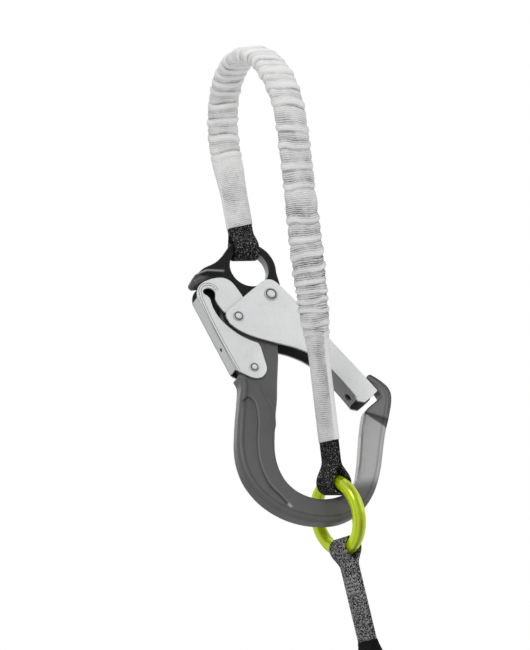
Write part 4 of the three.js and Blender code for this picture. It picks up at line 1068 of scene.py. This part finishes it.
# Painted shade on the inner face of the spine
tint(spine, lambda centre, normal: np.where(normal[:, :2] @ spine_in > 0.5, 0.01, 0.82))
lever_parts.append(spine)
bead_line = spline(BEAD, per=8)
bead_side = left_of(bead_line)
slot_line = spline(LEVER_SLOT, per=5)[15:90]
slot_rim = slot_line - 0.75 * left_of(slot_line)
lever_face = LEVER_WIDTH / 2
for side in (1, -1):
    # The bead and the slot's rim are bright; the thin dark wires either side of the bead are painted
    # shade
    for line, radius, bright in (
        (bead_line, BEAD_RADIUS, 1.0), (slot_rim, 0.6, 1.0),
        (bead_line + 0.95 * bead_side, 0.26, 0.12), (bead_line - 0.95 * bead_side, 0.26, 0.2),
    ):
        bead = wire(np.c_[line, np.full(len(line), side * (lever_face - BEAD_SUNK))], radius, 8, 0.7)
        lever_parts.append(tint(bead, lambda centre, normal: np.full(len(centre), bright)))
lever = joined(lever_parts)
placed(lever, "lock_lever_folded", hook_frame, "lever", zinc_steel, ["lock_lever"], 40)
# A thin black disc on the spine stands for a hole: painted shade
hole = turned([(0, 0), (1.5, 0), (1.5, 0.22), (0, 0.22)], (0, 0), 24)
tint(on_wall(hole, SPINE_HOLE_AT, spine_run, -spine_in), lambda centre, normal: np.zeros(len(centre)))
placed(hole, "lever_spine_hole_shade", hook_frame, "lever", zinc_steel, (), 40)
pivot = rivet(LEVER_PIVOT, LEVER_PIVOT_SIZES, lever_face + SEAT_GAP)
placed(
    pivot, "lever_pivot_domed", hook_frame, "hook", zinc_steel, ["lever_pivot_rivet"], 50
)


# ---- Springs and washer -------------------------------------------------------------------------
# The two return springs lie in pockets of the body, and a washer fills the gap under the far cheek.
# Their solids have the real shapes, so they are kept and given their metals.

bare_zinc = metal("bare_zinc", grey(0.5), grey(0.68), 0.5, 0.42, size=0.0008, toned=False)
spring_steel = metal("spring_steel", grey(0.30), grey(0.45), 0.9, 0.3, toned=False)
for name, material in (
    ("gate_pivot_washer", bare_zinc), ("gate_spring", spring_steel), ("lever_spring", spring_steel),
):
    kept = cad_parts[name]
    kept.data.materials.clear()
    kept.data.materials.append(material)


# ---- Ring ---------------------------------------------------------------------------------------
# A forged alloy bar bent into a ring and anodised lime. A broad dark band round the bar is a painted
# reflection, and a thin darker line runs along its front.

RING_MEAN_RADIUS = 27
RING_BAR_RADIUS = 5.3
RING_BEARING = 26.08
# Angle round the bar and width of each, in radians
DARK_BAND = (0.35, 0.40)
THIN_DARK_LINE = (1.08, 0.08)

ring_centre = ring_end_place - ring_end_up * RING_BEARING
ring_through = unit(np.cross(ring_end_up, ring_end_width))
ring_frame = frame_matrix(ring_centre, np.cross(ring_end_up, ring_through), ring_end_up, -ring_through)
ring = bar_ring(RING_MEAN_RADIUS, RING_BAR_RADIUS, RING_BAR_RADIUS, 1, 144, 64)
places = read(ring.data.vertices, "co")
angle = np.arctan2(places[:, 2], np.hypot(places[:, 0], places[:, 1]) - RING_MEAN_RADIUS)
# Painted reflection: the broad dark band; beside it the thin darker line
band, thin_dark_line = hump(angle, *DARK_BAND), hump(angle, *THIN_DARK_LINE)
uneven = 0.8 + 0.2 * waves(places, 22, 31)
attribute(ring, "tone", np.clip(1 - 0.8 * band * uneven - 0.45 * thin_dark_line, 0, 1))
close_up(ring.data)
lime_alloy = metal(
    "lime_alloy", (0.09, 0.11, 0.004, 1), (0.56, 0.72, 0.006, 1), 0.3, 0.2, size=0.0012, speck=0.4,
    bump=0.03,
)
placed(ring, "tie_back_ring_forged", ring_frame, "ring", lime_alloy, ["tie_back_ring"])


# ---- Tail ---------------------------------------------------------------------------------------
# Black and grey webbing looped round the ring's foot. Its plies are sewn together by light zigzag
# rows and run into the absorber's cover.

TAIL_BIGHT_RADIUS = 6.91
TAIL_VISIBLE = 74
TAIL_WIDTH = 20.8
ABSORBER_LENGTH = 150
TEAR_RUN = 104

down = np.array([0, 0, -1.0])
down = unit(down - ring_through * (down @ ring_through))
ring_across = unit(np.cross(ring_through, down))
tail_place = ring_centre + down * RING_BEARING
tail_frame = sewn_frame(tail_place, down, ring_across)
in_cover = (ABSORBER_LENGTH - TEAR_RUN) / 2
heather_webbing = webbing("heather_webbing", grey(0.005), grey(0.5), 0.49)
pale_thread = webbing("pale_thread", grey(0.2), grey(0.5), 0.4, pitch=0.0007, bump=0.3)
line, neck = eye_line(TAIL_BIGHT_RADIUS, TAIL_VISIBLE + in_cover - CORE_GAP)
eye = tape(line, TAIL_WIDTH)
placed(eye, "tail_tape", tail_frame, "tail", heather_webbing, ["tail_webbing"])
bars, edges = (neck + 9, neck + 24), (neck - 1, TAIL_VISIBLE - 4)
tacked("tail_tack", "tail_stitching", tail_frame, "tail", pale_thread, bars, 5, edges)


# ---- Absorber -----------------------------------------------------------------------------------
# Tear webbing packed in long folds, in a soft sewn cover of black cloth. The cover is drawn in to
# the webbing at its top and rounded at its foot, with a seam down each edge of both faces.

COVER_WIDTH = 40
COVER_THICKNESS = 26
COVER_NECK = (21.6, 6.4)
SHOULDER = 40
COVER_SIDES = 72
COVER_SQUARENESS = 0.55
SEAM_ACROSS = 30
TEAR_WIDTH = 30
TEAR_THICKNESS = 1.5
TEAR_PITCH = 3.6
TEAR_RUNS = 5

cover_lengths = np.linspace(0, ABSORBER_LENGTH, 110)
foot = np.clip((ABSORBER_LENGTH - cover_lengths) / 8, 0, 1)
open_share = smoothstep(cover_lengths, -3, SHOULDER) * np.sqrt(1 - (1 - foot) ** 2)
angles = np.linspace(0, 2 * math.pi, COVER_SIDES, endpoint=False)
square_x, square_z = (squared(wave(angles), COVER_SQUARENESS) for wave in (np.cos, np.sin))
half_x = (COVER_NECK[1] + (COVER_THICKNESS - COVER_NECK[1]) * open_share) / 2
half_z = (COVER_NECK[0] + (COVER_WIDTH - COVER_NECK[0]) * open_share) / 2
x, z = half_x[:, None] * square_x, half_z[:, None] * square_z
y = np.repeat((TAIL_VISIBLE + cover_lengths)[:, None], COVER_SIDES, axis=1)
spots = np.stack([x, y, z], axis=-1)
sag = (0.5 * waves(spots, 38, 21) + 0.22 * waves(spots, 14, 22)) * open_share[:, None]
seam = hump(np.abs(z), SEAM_ACROSS / 2, 0.9) * (np.abs(square_x) > 0.5) * open_share[:, None]
outward = unit(np.stack([x, 0 * y, z], axis=-1))
rings = spots + outward * (sag - 0.6 * seam)[..., None]
pouch = skin("pouch", rings, np.linspace(0, 118, COVER_SIDES + 1), cover_lengths)
placed(pouch, "absorber_pouch", tail_frame, "tail", black_cloth, ["absorber_cover"])
threads = []
for across in (-SEAM_ACROSS / 2, SEAM_ACROSS / 2):
    for side in (1, -1):
        for start in np.arange(SHOULDER + 2, ABSORBER_LENGTH - 8, 3.4):
            row = int(np.argmin(np.abs(cover_lengths - start - 1)))
            column = int(np.argmin(np.abs(z[row] - across) + 100 * (side * x[row] < 0)))
            face = x[row, column] + side * sag[row, column]
            sewn_at = face + side * np.array([-0.9, -0.25, -0.15, -0.25, -0.9])
            threads.append(stitch(sewn_at, TAIL_VISIBLE + start, across, THREAD_RADIUS))
placed(joined(threads), "absorber_seams", tail_frame, "tail", dark_thread)

fold_ends = [TAIL_VISIBLE + in_cover + 0.8, TAIL_VISIBLE + in_cover + TEAR_RUN - 0.8]
folds = [
    ((run - (TEAR_RUNS - 1) / 2) * TEAR_PITCH, end)
    for run in range(TEAR_RUNS)
    for end in (fold_ends if run % 2 == 0 else fold_ends[::-1])
]
tear = tape(softened(resampled(np.array(folds), 1.2), 3), TEAR_WIDTH, TEAR_THICKNESS)
replaced = ["absorber_tear_webbing"]
placed(tear, "absorber_tear_tape", tail_frame, "tail", white_webbing, replaced)


# ---- Harness loop -------------------------------------------------------------------------------
# A longer eye of black webbing below the cover, its plies sewn inside the cover and tacked above
# the loop.

HARNESS_REACH = 60
HARNESS_RADIUS = 13

harness_place = tail_place + down * (ABSORBER_LENGTH + TAIL_VISIBLE + HARNESS_REACH)
harness_frame = sewn_frame(harness_place, -down, ring_across)
line, neck = eye_line(HARNESS_RADIUS, HARNESS_REACH + in_cover - CORE_GAP)
eye = tape(line, TAIL_WIDTH)
placed(eye, "harness_tape", harness_frame, "tail", black_webbing, ["harness_loop"])
bars, edges = (neck + 1, neck + 13), (neck - 1, HARNESS_REACH - 3)
tacked("harness_tack", "harness_loop_stitching", harness_frame, "tail", dark_thread, bars, 4, edges)


# ---- Floor, light and background ----------------------------------------------------------------
# A plain pale floor below the harness loop, four soft lamps, and a studio that is white to the
# camera but lights the object less.

FLOOR_HEIGHT = -0.78
LIGHT_AT = (0, 0, -0.25)
WORLD_LIGHT = 0.5

bpy.ops.mesh.primitive_plane_add(size=8, location=(0, 0, 0))
floor = bpy.context.object
floor.name = "floor"
floor.data.transform(Matrix.Translation((0, 0, FLOOR_HEIGHT)))
floor.select_set(False)
pale_floor, tree, shader = finish_of("pale_floor", 0.9)
place = node(tree, "TexCoord").outputs["Object"]
cloud = node(tree, "TexNoise", {"Vector": place, "Scale": 30}).outputs[0]
tree.links.new(mixed(tree, cloud, grey(0.86), grey(0.88)), shader.inputs["Base Color"])
floor.data.materials.append(pale_floor)

for name, place, size, power in (
    ("key", (-1.3, -1.6, 1.2), 0.9, 22), ("fill", (1.6, -1.3, 0.2), 1.4, 7),
    ("top", (0.2, 0.3, 1.7), 1.2, 11), ("back", (0.3, 1.8, 0.4), 1.4, 9),
):
    data = bpy.data.lights.new(name, "AREA")
    data.size = size
    data.energy = power
    lamp = linked(name, data)
    lamp.location = place
    lamp.rotation_euler = (Vector(LIGHT_AT) - Vector(place)).to_track_quat("-Z", "Y").to_euler()

world = bpy.data.worlds.new("studio")
world.use_nodes = True
bpy.context.scene.world = world
tree = world.node_tree
tree.nodes.clear()
rays = node(tree, "LightPath")
seen = sums(tree, "MAXIMUM", rays.outputs["Is Camera Ray"], rays.outputs["Is Glossy Ray"])
seen = sums(tree, "MAXIMUM", seen, rays.outputs["Is Transmission Ray"])
strength = sums(tree, "MULTIPLY_ADD", seen, 1 - WORLD_LIGHT, WORLD_LIGHT)
background = node(tree, "Background", {"Color": grey(1.0), "Strength": strength})
node(tree, "OutputWorld", {0: background.outputs[0]})
bpy.context.scene.view_settings.view_transform = "Standard"
